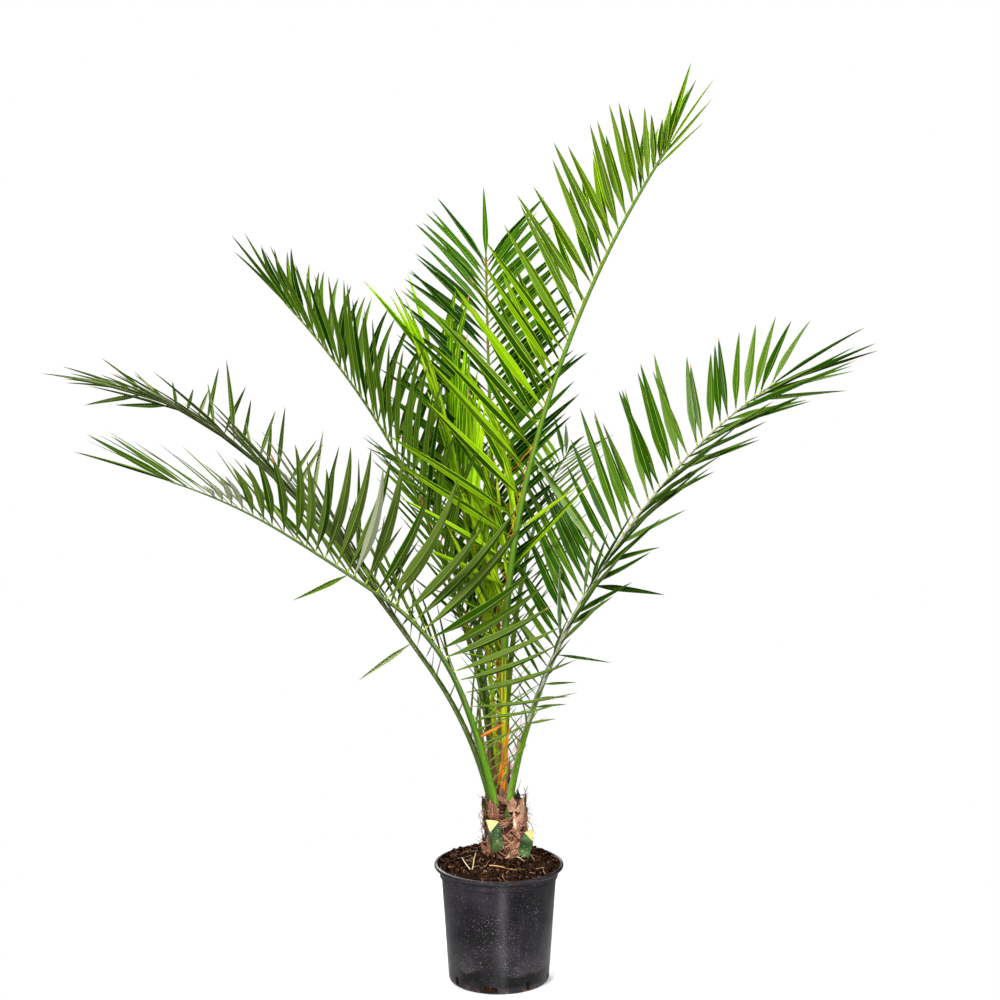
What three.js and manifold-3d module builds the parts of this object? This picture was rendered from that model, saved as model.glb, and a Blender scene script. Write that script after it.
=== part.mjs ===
// A young Canary Island date palm in a nursery pot: a short stem wrapped in old leaf
// bases, nine feather fronds and an unopened spear leaf.
// Millimetres, +Z up, origin at the middle of the pot's underside. Seen from the front,
// +X is to the right and +Y is away from the viewer.

import * as THREE from "three";
import { mergeVertices } from "three/addons/utils/BufferGeometryUtils.js";
import Module from "manifold-3d";

const wasm = await Module();
wasm.setup();

// Driving dimensions

// Clearance between neighbouring pieces, and how far a joined face may depart from flat
const GAP = 0.3;
const FLATNESS = 0.05;

// Moulded pot: thin flared lip, a collar band under it, a straight taper and drain notches
const POT = {
  height: 240,
  rimRadius: 130,
  lipHeight: 8,
  lipWidth: 5,
  lipRound: 2.5,
  flareHeight: 7,
  neckHeight: 222,
  collarHeight: 19,
  collarStep: 2.4,
  shoulderRadius: 117,
  baseRadius: 101,
  heel: 5,
  wall: 2.4,
  floor: 3,
  sides: 48,
  notches: 8,
  firstNotchTurn: 260,
  wideNotch: { width: 30, height: 13, depth: 12 },
  slotNotch: { width: 9, height: 20, depth: 12, lift: 12 },
};

// Potting soil, filled to the lip and heaped above it, with a level pad under the stem
const SOIL = {
  padHeight: 246,
  padRadius: 68,
  crestHeight: 249.5,
  crestInner: 80,
  crestOuter: 98,
  slopeRadius: 112,
  slopeHeight: 244.5,
};

// Stem: flared at the soil, drawn in at the waist, level at the top
const STEM = {
  footX: 15,
  topX: 10,
  topHeight: 372,
  flareRadius: 51,
  waistRadius: 40,
  topRadius: 42,
  flareReach: 0.22,
  ridgeDepth: 1.6,
  ridges: 7,
  ridgeTwist: 9,
  sides: 28,
  rings: 7,
};

// Stubs of cut leaf stalks round the stem: turn in degrees and height of the cut's middle.
// Each is a keeled wedge, flat towards the stem, that is cut off slanting outwards.
const STUB = {
  width: 35,
  keel: 16,
  back: 9,
  length: 62,
  rootScale: 0.9,
  tilt: 20,
  cutSlope: 0.8,
  sink: 4,
};
const STUBS = [
  { turn: 247, height: 338 },
  { turn: 320, height: 312 },
  { turn: 70, height: 338 },
  { turn: 116, height: 312 },
];

// Rib of a frond: a four-cornered stalk, broad at its foot and fine at its tip. Its thickness is
// a share of its width; a deep rib reaches its own share a little way up.
const RIB = {
  sides: 4,
  steps: 12,
  tipHalfWidth: 2.4,
  fall: 1.3,
  thickness: 0.72,
  deepFrom: 0.2,
  samples: 60,
  swingPower: 1.5,
};

// Leaflet: a stiff pointed blade, flat above and keeled below
const LEAFLET = {
  halfWidth: 10,
  narrowest: 0.45,
  fullWidthLength: 450,
  widestAt: 0.38,
  rootHalfWidth: 2.6,
  keel: 0.42,
  rootKeel: 2,
  leastKeelShare: 0.012,
  sink: 0.3,
  terminalSink: 10,
};

// Row of leaflets: how they crowd towards the rib's tip, how their length swells and falls, how
// soon the splay of the lowest ones ends, how late they close in on the tip, and how far each one
// strays in place, degrees and length
const ROW = {
  stagger: 0.35,
  spare: 0.4,
  crowding: 1.12,
  lastShare: 0.99,
  shortest: 0.22,
  riseUntil: 0.3,
  risePower: 0.8,
  fallFrom: 0.45,
  fallPower: 1.3,
  splayEnd: 6,
  closeIn: 6,
  levelOff: 4,
  stray: { place: 0.5, angle: 8, rise: 20, length: 0.16 },
};

// Small turns, in degrees, that are tried when a leaflet would touch another frond
const TRIES = [[0, 0], [6, 0], [-6, 0], [0, 10], [0, -10], [8, 14], [-8, -14], [12, -8], [-12, 8]];

// Fronds. Turn is the compass direction in degrees from +X, leans are measured from upright
// at even steps from the foot to the tip, swing turns the tip sideways. A row of leaflets goes
// from its first angle to its last one off the rib, and rises from its first to its last angle
// above the blade's plane.
const FRONDS = {
  frond_right_tall: {
    foot: [16.5, -4.5], footHalfWidth: 9, turn: -6,
    leans: [-4.8, 3, 13.8, 23.2, 33.2], swing: 0, length: 1355,
    bare: 0.18, count: 24, leaf: 310, endShare: 0.5, deepRib: 1.5,
    left: { angle: [56, 24], rise: [52, 20], scale: 0.95, crowding: 1.6 },
    right: { angle: [54, 20], rise: [62, 40], splay: 32, crowding: 1.8 },
  },
  frond_left_dark: {
    foot: [-13.5, 18.6], footHalfWidth: 9, turn: 160,
    leans: [-0.8, 16.2, 22.6, 36, 46], swing: 0.6, length: 1106,
    bare: 0.2, count: 22, leaf: 285, endShare: 0.58,
    left: { angle: [48, 20], rise: [58, 35] }, right: { angle: [52, 20], rise: [33, 20] },
  },
  frond_left_high: {
    foot: [-18, -2], footHalfWidth: 9.5, turn: 176,
    leans: [13, 35, 38, 50.9, 75], swing: -0.7, length: 1145,
    bare: 0.24, count: 20, leaf: 215, endShare: 0.5,
    left: { angle: [38, 18], rise: [18, -15], scale: 1.25 }, right: { angle: [66, 24], rise: [32, 10] },
  },
  frond_left_low: {
    foot: [-8, -29], footHalfWidth: 11.5, turn: 203,
    leans: [11.9, 22.9, 53.5, 56.5, 69.9], swing: -2.8, length: 976,
    bare: 0.17, count: 20, leaf: 262, endShare: 0.75,
    left: { angle: [82, 24], rise: [52, 30], scale: 1.12, closeIn: 1.6 },
    right: { angle: [62, 22], rise: [25, 12] },
  },
  frond_right_low: {
    foot: [20, -27], footHalfWidth: 11.5, turn: -12,
    leans: [9, 21.5, 31.4, 40.2, 55.4], swing: 0, length: 1012,
    bare: 0.18, count: 20, leaf: 280, endShare: 0.72,
    left: { angle: [70, 24], rise: [56, 48], crowding: 1, closeIn: 9 },
    right: { angle: [52, 20], rise: [-10, -30] },
  },
  frond_back_upright: {
    foot: [6, 22.5], footHalfWidth: 8, turn: 100,
    leans: [3, 12.5, 17.5, 21.7, 26.8], swing: -8, length: 1127,
    bare: 0.2, count: 20, leaf: 270, endShare: 0.65,
    left: { angle: [52, 38], rise: [25, 15] }, right: { angle: [52, 38], rise: [25, 15] },
  },
  frond_young: {
    foot: [0, 2], footHalfWidth: 6.5, turn: 125,
    leans: [4.1, 9.9, 15.7, 21.7, 27.2], swing: -2, length: 898,
    bare: 0.26, count: 15, leaf: 280, endShare: 0.78,
    left: { angle: [40, 32], rise: [42, 12] }, right: { angle: [40, 30], rise: [42, 12] },
  },
  frond_back_right: {
    foot: [8, 37.5], footHalfWidth: 8, turn: 78,
    leans: [8, 22, 42, 60, 76], swing: -6, length: 900,
    bare: 0.22, count: 18, leaf: 250, endShare: 0.6,
    left: { angle: [66, 22], rise: [24, 12] }, right: { angle: [76, 24], rise: [8, 5] },
  },
  frond_back_left: {
    foot: [-11, 37.5], footHalfWidth: 8, turn: 106,
    leans: [8, 25, 44, 60, 74], swing: 6, length: 860,
    bare: 0.22, count: 18, leaf: 240, endShare: 0.6,
    left: { angle: [60, 22], rise: [12, 8] }, right: { angle: [64, 20], rise: [24, 12] },
  },
};

// Spear: the next leaf, still folded shut, in the middle of the crown
const SPEAR = { foot: [11, 10.5], length: 430, radius: 4.2, tip: 0.25, bow: 4, sides: 6, steps: 8 };

// Colours and surface of each material
const FINISH = {
  pot: { color: 0x232629, roughness: 0.55, metalness: 0 },
  soil: { color: 0x3a281d, roughness: 0.95, metalness: 0 },
  stem: { color: 0x7a5d42, roughness: 0.9, metalness: 0 },
  spear: { color: 0x9aac3c, roughness: 0.5, metalness: 0 },
  youngFrond: { color: 0x5f8f1e, roughness: 0.45, metalness: 0 },
  frond: { color: 0x3f6424, roughness: 0.5, metalness: 0 },
};
const YOUNG_FRONDS = ["frond_right_tall", "frond_young", "frond_back_upright"];

// Small helpers

const radians = THREE.MathUtils.degToRad;
const mix = THREE.MathUtils.lerp;

// A steady number from 0 to 1 for four whole numbers
function chance(a, b, c, d) {
  const wave = Math.sin(a * 12.9898 + b * 78.233 + c * 37.719 + d * 4.581) * 43758.5453;
  return wave - Math.floor(wave);
}

// Moves every vertex of a geometry by a function of its position
function reshape(geometry, place) {
  const position = geometry.attributes.position;
  const vertex = new THREE.Vector3();
  for (let i = 0; i < position.count; i += 1) {
    vertex.fromBufferAttribute(position, i);
    const moved = place(vertex);
    position.setXYZ(i, moved.x, moved.y, moved.z);
  }
  return geometry;
}

// A closed geometry as a solid that can be joined and cut
function solidOf(geometry) {
  const bare = geometry.clone();
  bare.deleteAttribute("normal");
  bare.deleteAttribute("uv");
  const merged = mergeVertices(bare, 1e-4);
  const vertProperties = new Float32Array(merged.attributes.position.array);
  const triVerts = new Uint32Array(merged.index.array);
  return new wasm.Manifold(new wasm.Mesh({ numProp: 3, vertProperties, triVerts }));
}

// The largest body of a solid, as a geometry
function geometryOf(solid) {
  const bodies = solid.simplify(FLATNESS).decompose();
  bodies.sort((one, other) => other.volume() - one.volume());
  const mesh = bodies[0].getMesh();
  const geometry = new THREE.BufferGeometry();
  geometry.setAttribute("position", new THREE.BufferAttribute(mesh.vertProperties, 3));
  geometry.setIndex(new THREE.BufferAttribute(mesh.triVerts, 1));
  geometry.computeVertexNormals();
  return geometry;
}

function namedMesh(name, solid, finish) {
  const mesh = new THREE.Mesh(geometryOf(solid), new THREE.MeshStandardMaterial(finish));
  mesh.name = name;
  return mesh;
}

// A solid turned about the Z axis from a profile of radius and height
function turned(profile, sides) {
  const points = profile.map(([radius, height]) => new THREE.Vector2(radius, height));
  const lathe = new THREE.LatheGeometry(points, sides);
  lathe.rotateX(Math.PI / 2);
  return solidOf(lathe);
}

// Pot

// Outer radius of the tapering wall at a height
function potRadius(height) {
  return mix(POT.baseRadius, POT.shoulderRadius, height / POT.height);
}

// Outer radius of the collar band
function collarOuter() {
  return potRadius(POT.height - POT.lipHeight) + POT.collarStep;
}

// Radius and height up the inner side, from the neck to the lip
function flare() {
  return [
    [potRadius(POT.neckHeight) - POT.wall, POT.neckHeight],
    [collarOuter() - POT.wall, POT.height - POT.flareHeight],
    [POT.rimRadius - POT.lipWidth - 1, POT.height - POT.lipRound],
  ];
}

function makePot() {
  const lipBottom = POT.height - POT.lipHeight;
  const collarBottom = lipBottom - POT.collarHeight;
  const collarRadius = collarOuter();
  const roundOff = POT.lipHeight / 4;
  const outer = [
    [0, 0],
    [POT.baseRadius - POT.heel, 0],
    [potRadius(POT.heel), POT.heel],
    [potRadius(collarBottom), collarBottom],
    [collarRadius, collarBottom + POT.collarStep],
    [collarRadius, lipBottom],
    [POT.rimRadius - roundOff, lipBottom],
    [POT.rimRadius, lipBottom + roundOff],
    [POT.rimRadius, POT.height - roundOff],
    [POT.rimRadius - roundOff, POT.height],
  ];
  const inner = [
    [POT.rimRadius - POT.lipWidth, POT.height],
    ...flare().reverse(),
    [potRadius(POT.floor) - POT.wall, POT.floor],
    [0, POT.floor],
  ];
  let pot = turned([...outer, ...inner, [0, 0]], POT.sides);
  for (let k = 0; k < POT.notches; k += 1) {
    const turn = radians(POT.firstNotchTurn + 360 * k / POT.notches);
    pot = pot.subtract(drainNotch(k % 2 === 0 ? POT.wideNotch : POT.slotNotch, turn));
  }
  return pot;
}

// A cutter for one drain hole at the foot of the wall
function drainNotch(notch, turn) {
  const lift = notch.lift ?? notch.height / 2 + POT.floor;
  const cutter = new THREE.BoxGeometry(2 * notch.depth, notch.width, notch.height);
  cutter.translate(potRadius(lift), 0, lift);
  cutter.rotateZ(turn);
  return solidOf(cutter);
}

// Soil

function makeSoil() {
  const bottom = POT.floor + GAP;
  return turned([
    [0, bottom],
    [potRadius(bottom) - POT.wall - GAP, bottom],
    ...flare().map(([radius, height]) => [radius - GAP, height + GAP]),
    [SOIL.slopeRadius, SOIL.slopeHeight],
    [SOIL.crestOuter, SOIL.crestHeight],
    [SOIL.crestInner, SOIL.crestHeight],
    [SOIL.padRadius, SOIL.padHeight],
    [0, SOIL.padHeight],
    [0, bottom],
  ], POT.sides);
}

// Stem

// Radius of the stem at a share of its height, before its ridges
function stemRadius(share) {
  const flare = Math.exp(-share / STEM.flareReach);
  const body = mix(STEM.waistRadius, STEM.topRadius, share);
  return body + (STEM.flareRadius - STEM.waistRadius) * flare;
}

function stemBottom() {
  return SOIL.padHeight + GAP;
}

function makeStem() {
  const bottom = stemBottom();
  const column = new THREE.CylinderGeometry(1, 1, 1, STEM.sides, STEM.rings);
  reshape(column, ({ x, y, z }) => {
    const share = y + 0.5;
    const turn = Math.atan2(x, z);
    const ridge = STEM.ridgeDepth * Math.sin(STEM.ridges * turn + STEM.ridgeTwist * share);
    const radius = Math.hypot(x, z) * (stemRadius(share) + ridge);
    const axis = mix(STEM.footX, STEM.topX, share);
    const height = mix(bottom, STEM.topHeight - GAP, share);
    return new THREE.Vector3(axis + radius * Math.sin(turn), -radius * Math.cos(turn), height);
  });
  return STUBS.reduce((stem, stub) => stem.add(leafStub(stub)), solidOf(column));
}

// One cut leaf stalk, standing against the stem and leaning out from it
function leafStub({ turn, height }) {
  const share = (height - stemBottom()) / (STEM.topHeight - stemBottom());
  const rootRadius = stemRadius(share) - STUB.sink;
  const upright = new THREE.Vector3(0, 0, 1);
  const sideways = new THREE.Vector3(0, 1, 0);
  const wedge = new THREE.CylinderGeometry(1, STUB.rootScale, 1, 3);
  reshape(wedge, ({ x, y, z }) => {
    const out = z > 0 ? z * STUB.keel : z * STUB.back;
    const slant = y > 0 ? -out * STUB.cutSlope : 0;
    const corner = new THREE.Vector3(out, x * STUB.width / 2, (y - 0.5) * STUB.length + slant);
    corner.applyAxisAngle(sideways, radians(STUB.tilt));
    corner.x += rootRadius + STUB.length * Math.sin(radians(STUB.tilt));
    corner.applyAxisAngle(upright, radians(turn));
    return corner.add(new THREE.Vector3(mix(STEM.footX, STEM.topX, share), 0, height));
  });
  return solidOf(wedge);
}

// Fronds

// Lean of a rib at a share of its length
function leanAt(frond, share) {
  const place = share * (frond.leans.length - 1);
  const low = Math.min(Math.floor(place), frond.leans.length - 2);
  return radians(mix(frond.leans[low], frond.leans[low + 1], place - low));
}

// Points and directions along a rib: along it, across the blade, and out of its upper face
function ribFrames(frond) {
  const frames = [];
  const point = new THREE.Vector3(frond.foot[0], frond.foot[1], STEM.topHeight);
  const step = frond.length / RIB.samples;
  for (let k = 0; k <= RIB.samples; k += 1) {
    const share = k / RIB.samples;
    const lean = leanAt(frond, share);
    const turn = radians(frond.turn + frond.swing * share ** RIB.swingPower);
    const outward = new THREE.Vector3(Math.cos(turn), Math.sin(turn), 0);
    const up = new THREE.Vector3(0, 0, 1);
    const along = outward.clone().multiplyScalar(Math.sin(lean)).addScaledVector(up, Math.cos(lean));
    const across = new THREE.Vector3(-Math.sin(turn), Math.cos(turn), 0);
    const face = outward.clone().multiplyScalar(-Math.cos(lean)).addScaledVector(up, Math.sin(lean));
    if (k > 0) {
      const before = frames[k - 1].along;
      point.addScaledVector(before.clone().add(along).multiplyScalar(0.5), step);
    }
    frames.push({ point: point.clone(), along, across, face });
  }
  return frames;
}

// The frame at any share of the rib
function frameAt(frames, share) {
  const place = Math.min(share, 1) * RIB.samples;
  const low = Math.min(Math.floor(place), RIB.samples - 1);
  const part = place - low;
  const blend = (key) => frames[low][key].clone().lerp(frames[low + 1][key], part);
  return { point: blend("point"), along: blend("along"), across: blend("across"), face: blend("face") };
}

function ribHalfWidth(frond, share) {
  return RIB.tipHalfWidth + (frond.footHalfWidth - RIB.tipHalfWidth) * (1 - share) ** RIB.fall;
}

// Thickness of a rib as a share of its width
function ribThickness(frond, share) {
  const deep = frond.deepRib ?? RIB.thickness;
  return mix(RIB.thickness, deep, THREE.MathUtils.smoothstep(share, 0, RIB.deepFrom));
}

// The stalk and rib of a frond, cut level at its foot
function makeRib(frond, frames) {
  const corner = Math.SQRT2;
  const firstTurn = Math.PI / RIB.sides;
  const stalk = new THREE.CylinderGeometry(corner, corner, 1, RIB.sides, RIB.steps, false, firstTurn);
  reshape(stalk, ({ x, y, z }) => {
    const share = y + 0.5;
    const { point, along, across, face } = frameAt(frames, share);
    const halfWidth = ribHalfWidth(frond, share);
    point.addScaledVector(across, -x * halfWidth);
    point.addScaledVector(face, z * halfWidth * ribThickness(frond, share));
    if (share === 0) {
      point.addScaledVector(along, (STEM.topHeight - point.z) / along.z);
    }
    return point;
  });
  return solidOf(stalk);
}

// Length of a leaflet as a share of the frond's longest, at a share of the rib
function lengthShare(frond, share) {
  const run = (share - frond.bare) / (1 - frond.bare);
  const grown = Math.min(1, run / ROW.riseUntil) ** ROW.risePower;
  const fallen = Math.max(0, (run - ROW.fallFrom) / (1 - ROW.fallFrom)) ** ROW.fallPower;
  return mix(ROW.shortest, 1, grown) * (1 - (1 - frond.endShare) * fallen);
}

// Place, directions and length of one leaflet of a row; side is 1 on the left, -1 on the right
function leafletSite(frond, frames, seed, side, index, turnBy, riseBy) {
  const row = side > 0 ? frond.left : frond.right;
  const stray = (kind) => chance(seed, side, index, kind) - 0.5;
  const slot = index + 0.5 + (side > 0 ? ROW.stagger : 0) + ROW.stray.place * stray(1);
  const place = Math.min(slot / (frond.count + ROW.spare), 1);
  const crowded = 1 - (1 - place) ** (row.crowding ?? ROW.crowding);
  const share = Math.min(mix(frond.bare, 1, crowded), ROW.lastShare);
  const { point, along, across, face } = frameAt(frames, share);
  const splay = (row.splay ?? 0) * (1 - place) ** ROW.splayEnd;
  const settled = mix(...row.angle, place ** (row.closeIn ?? ROW.closeIn)) + splay;
  const angle = radians(settled + ROW.stray.angle * stray(2) + turnBy);
  const rise = radians(mix(...row.rise, place ** ROW.levelOff) + ROW.stray.rise * stray(3) + riseBy);
  const outward = across.clone().multiplyScalar(side * Math.cos(rise)).addScaledVector(face, Math.sin(rise));
  const ahead = along.clone().multiplyScalar(Math.cos(angle)).addScaledVector(outward, Math.sin(angle));
  ahead.normalize();
  const upper = new THREE.Vector3().crossVectors(along, ahead).multiplyScalar(side).normalize();
  const longest = frond.leaf * (row.scale ?? 1) * (1 + ROW.stray.length * stray(4));
  const length = longest * lengthShare(frond, share);
  const start = point.addScaledVector(ahead, -LEAFLET.sink * ribHalfWidth(frond, share));
  return { start, ahead, upper, length };
}

// One leaflet: a three-cornered cone drawn out to a keeled blade with a pointed end
function makeLeaflet({ start, ahead, upper, length }) {
  const under = upper.clone().negate();
  const wide = new THREE.Vector3().crossVectors(ahead, under);
  const halfWidth = LEAFLET.halfWidth * Math.min(1, LEAFLET.narrowest + length / LEAFLET.fullWidthLength);
  const keel = Math.max(halfWidth * LEAFLET.keel, LEAFLET.leastKeelShare * length);
  const blade = new THREE.ConeGeometry(1, 1, 3, 2);
  reshape(blade, ({ x, y, z }) => {
    const isRoot = y < -0.25;
    const isTip = y > 0.25;
    const reach = isRoot ? 0 : LEAFLET.widestAt;
    const point = start.clone().addScaledVector(ahead, (isTip ? 1 : reach) * length);
    if (!isTip) {
      const sideways = Math.sign(Math.round(x * 4));
      point.addScaledVector(wide, sideways * (isRoot ? LEAFLET.rootHalfWidth : halfWidth));
      point.addScaledVector(under, z > 0 ? (isRoot ? LEAFLET.rootKeel : keel) : 0);
    }
    return point;
  });
  return solidOf(blade);
}

// Box test first, then the true gap between two solids
function clears(one, other) {
  const a = one.boundingBox();
  const b = other.boundingBox();
  for (let k = 0; k < 3; k += 1) {
    if (a.min[k] - GAP > b.max[k] || b.min[k] - GAP > a.max[k]) {
      return true;
    }
  }
  return one.minGap(other, 2 * GAP) > GAP;
}

// Leaflets of one frond that touch nothing of the other pieces
function makeLeaflets(frond, frames, seed, obstacles) {
  const leaflets = [];
  for (const side of [-1, 1]) {
    for (let index = 0; index < frond.count; index += 1) {
      for (const [turnBy, riseBy] of TRIES) {
        const leaflet = makeLeaflet(leafletSite(frond, frames, seed, side, index, turnBy, riseBy));
        if (obstacles.every((obstacle) => clears(leaflet, obstacle))) {
          leaflets.push(leaflet);
          break;
        }
      }
    }
  }
  return leaflets;
}

// The leaflet that ends the rib
function makeTerminal(frond, frames) {
  const { point, along, face } = frameAt(frames, 1);
  const start = point.addScaledVector(along, -LEAFLET.terminalSink);
  return makeLeaflet({ start, ahead: along, upper: face, length: frond.leaf * frond.endShare });
}

// Spear: a slender closed leaf with a slight bow
function makeSpear() {
  const shaft = new THREE.CylinderGeometry(SPEAR.tip, 1, 1, SPEAR.sides, SPEAR.steps);
  reshape(shaft, ({ x, y, z }) => {
    const share = y + 0.5;
    const bow = SPEAR.bow * share * share;
    const across = SPEAR.foot[0] + SPEAR.radius * x - bow;
    return new THREE.Vector3(across, SPEAR.foot[1] - SPEAR.radius * z, STEM.topHeight + SPEAR.length * share);
  });
  return solidOf(shaft);
}

// Assembly

function makePalm() {
  const palm = new THREE.Group();
  palm.add(namedMesh("pot", makePot(), FINISH.pot));
  palm.add(namedMesh("soil", makeSoil(), FINISH.soil));
  palm.add(namedMesh("stem", makeStem(), FINISH.stem));

  const spear = makeSpear();
  palm.add(namedMesh("spear", spear, FINISH.spear));

  const fronds = Object.entries(FRONDS).map(([name, frond], seed) => {
    const frames = ribFrames(frond);
    return { name, frond, seed, frames, pieces: [makeRib(frond, frames), makeTerminal(frond, frames)] };
  });
  for (const { name, frond, seed, frames, pieces } of fronds) {
    const others = fronds.filter((other) => other.name !== name).flatMap((other) => other.pieces);
    pieces.push(...makeLeaflets(frond, frames, seed, [spear, ...others]));
    const finish = YOUNG_FRONDS.includes(name) ? FINISH.youngFrond : FINISH.frond;
    palm.add(namedMesh(name, wasm.Manifold.union(pieces), finish));
  }
  return palm;
}

export default makePalm();
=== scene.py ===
"""Looks of a young date palm in a nursery pot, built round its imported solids.

Sizes are in millimetres and become metres when a mesh is made. +Z is up, the origin is the
middle of the pot's underside. Seen from the front, +X is to the right and +Y is away.
"""

import logging
import math
from dataclasses import dataclass, field, replace
from enum import IntEnum

import bmesh
import bpy
import numpy as np
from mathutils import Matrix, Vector, noise

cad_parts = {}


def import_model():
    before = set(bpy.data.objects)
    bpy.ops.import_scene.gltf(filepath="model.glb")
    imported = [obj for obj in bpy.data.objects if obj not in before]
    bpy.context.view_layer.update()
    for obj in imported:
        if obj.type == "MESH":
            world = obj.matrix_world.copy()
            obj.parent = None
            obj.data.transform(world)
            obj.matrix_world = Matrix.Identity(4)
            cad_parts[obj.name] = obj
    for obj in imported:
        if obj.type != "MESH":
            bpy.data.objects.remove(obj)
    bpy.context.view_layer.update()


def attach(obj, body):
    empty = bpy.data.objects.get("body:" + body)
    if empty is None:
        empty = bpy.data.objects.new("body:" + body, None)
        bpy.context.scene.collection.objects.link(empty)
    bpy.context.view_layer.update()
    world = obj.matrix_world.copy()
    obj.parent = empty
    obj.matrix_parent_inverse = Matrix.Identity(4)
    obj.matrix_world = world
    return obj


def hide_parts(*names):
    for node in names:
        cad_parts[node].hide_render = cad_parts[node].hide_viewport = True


log = logging.getLogger("date_palm")

Array = np.ndarray
Span = tuple[float, float]
Triple = tuple[float, float, float]
Colour = Triple
Frames = dict[str, Array]
Key = tuple[int, int, int]
Socket = bpy.types.NodeSocket
Material = bpy.types.Material
Piece = bpy.types.Object

MILLIMETRE = 0.001
BODY = "root"
UP = np.array([0.0, 0.0, 1.0])


# Small helpers


def mix(low: float, high: float, share: float | Array) -> float | Array:
    """The value at a share of the way from low to high."""
    return low + (high - low) * share


def ease(start: float, end: float, value: float | Array) -> float | Array:
    """A smooth step from 0 at start to 1 at end."""
    share = np.clip((value - start) / (end - start), 0.0, 1.0)
    return share * share * (3.0 - 2.0 * share)


def unit(vector: Array) -> Array:
    """The vector at length one."""
    return vector / np.linalg.norm(vector)


def chance(a: int, b: int, c: int, d: int) -> float:
    """A steady number from 0 to 1 for four whole numbers."""
    wave = math.sin(a * 12.9898 + b * 78.233 + c * 37.719 + d * 4.581) * 43758.5453
    return wave - math.floor(wave)


def rumple(points: Array, scale: float, seed: float) -> Array:
    """Even noise from -1 to 1 at each point.

    Args:
        points: Places in millimetres, one a row.
        scale: Size of the noise's lumps in millimetres.
        seed: Shift that picks another part of the noise.

    Returns:
        One number for each place.
    """
    moved = points / scale + seed
    return np.array([noise.noise(Vector(place)) for place in moved.reshape(-1, 3)])


def full_turn(count: int) -> Array:
    """Even turns round a circle, in radians."""
    return np.linspace(0.0, math.tau, count, endpoint=False)


def ring_at(radius: float | Array, turns: Array, height: float) -> Array:
    """Points round the Z axis at a radius and a height, one a row."""
    return np.stack([radius * np.cos(turns), radius * np.sin(turns), np.full(len(turns), height)], axis=1)


# Finishes


class NodeSheet:
    """A material's nodes, with short calls that add and join them."""

    def __init__(self, name: str) -> None:
        """Starts a material that holds only its shader."""
        self.material = bpy.data.materials.new(name)
        self.material.use_nodes = True
        self.tree = self.material.node_tree
        self.shader = self.tree.nodes["Principled BSDF"]
        self.places = self.tree.nodes.new("ShaderNodeTexCoord").outputs["Object"]

    def put(self, socket: str, value: float | Colour) -> None:
        """Sets one of the shader's own sockets."""
        self.shader.inputs[socket].default_value = (*value, 1.0) if isinstance(value, tuple) else value

    def join(self, source: Socket, socket: str) -> None:
        """Joins a node's output to one of the shader's sockets."""
        self.tree.links.new(source, self.shader.inputs[socket])

    def add(self, kind: str, inputs: dict[str | int, object], **settings: object) -> bpy.types.Node:
        """Adds a node.

        Args:
            kind: The node's Blender type.
            inputs: Values or sockets for its inputs.
            **settings: The node's own properties.

        Returns:
            The new node.
        """
        node = self.tree.nodes.new(kind)
        for name, value in settings.items():
            setattr(node, name, value)
        for key, value in inputs.items():
            if isinstance(value, Socket):
                self.tree.links.new(value, node.inputs[key])
            else:
                node.inputs[key].default_value = value
        return node

    def stretched(self, scale: Triple) -> Socket:
        """The object's places, stretched along its axes."""
        return self.add("ShaderNodeMapping", {"Vector": self.places, "Scale": scale}).outputs["Vector"]

    def clouds(self, scale: float, detail: float = 4.0, places: Socket | None = None) -> Socket:
        """A noise from 0 to 1 over the object's places."""
        inputs = {"Vector": places or self.places, "Scale": scale, "Detail": detail}
        return self.add("ShaderNodeTexNoise", inputs).outputs["Fac"]

    def patches(self, scale: float, detail: float, low: float, high: float) -> Socket:
        """A noise that is 0 below its low value and 1 above its high one."""
        return self.between(self.clouds(scale, detail), low, high)

    def noise_colour(self, scale: float) -> Socket:
        """A noise of three numbers over the object's places."""
        return self.add("ShaderNodeTexNoise", {"Vector": self.places, "Scale": scale}).outputs["Color"]

    def between(self, value: Socket, low: float, high: float, first: float = 0.0,
                last: float = 1.0) -> Socket:
        """Maps a value from low and high to first and last, held at both ends."""
        inputs = {"Value": value, "From Min": low, "From Max": high, "To Min": first, "To Max": last}
        return self.add("ShaderNodeMapRange", inputs).outputs["Result"]

    def times(self, one: Socket, other: Socket | float) -> Socket:
        """The product of two values."""
        return self.add("ShaderNodeMath", {0: one, 1: other}, operation="MULTIPLY").outputs["Value"]

    def blended(self, share: Socket, one: Colour | Socket, other: Colour) -> Socket:
        """A colour between two others."""
        first = one if isinstance(one, Socket) else (*one, 1.0)
        inputs = {"Factor": share, 6: first, 7: (*other, 1.0)}
        return self.add("ShaderNodeMix", inputs, data_type="RGBA").outputs[2]

    def cells(self, places: Socket, scale: float, outer: float, inner: float) -> tuple[Socket, Socket]:
        """Round specks.

        Args:
            places: Where the specks are looked up.
            scale: How close they lie.
            outer: Distance from a speck's middle at which it begins.
            inner: Distance at which it is full.

        Returns:
            The specks from 0 to 1, and a chance number for each of them.
        """
        node = self.add("ShaderNodeTexVoronoi", {"Vector": places, "Scale": scale})
        picked = self.add("ShaderNodeSeparateColor", {0: node.outputs["Color"]}).outputs[0]
        return self.between(node.outputs["Distance"], outer, inner), picked

    def relief(self, height: Socket, strength: float, distance: float) -> None:
        """Lets a height bend the shading."""
        bump = self.add("ShaderNodeBump", {"Strength": strength, "Distance": distance, "Height": height})
        self.join(bump.outputs["Normal"], "Normal")


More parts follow.
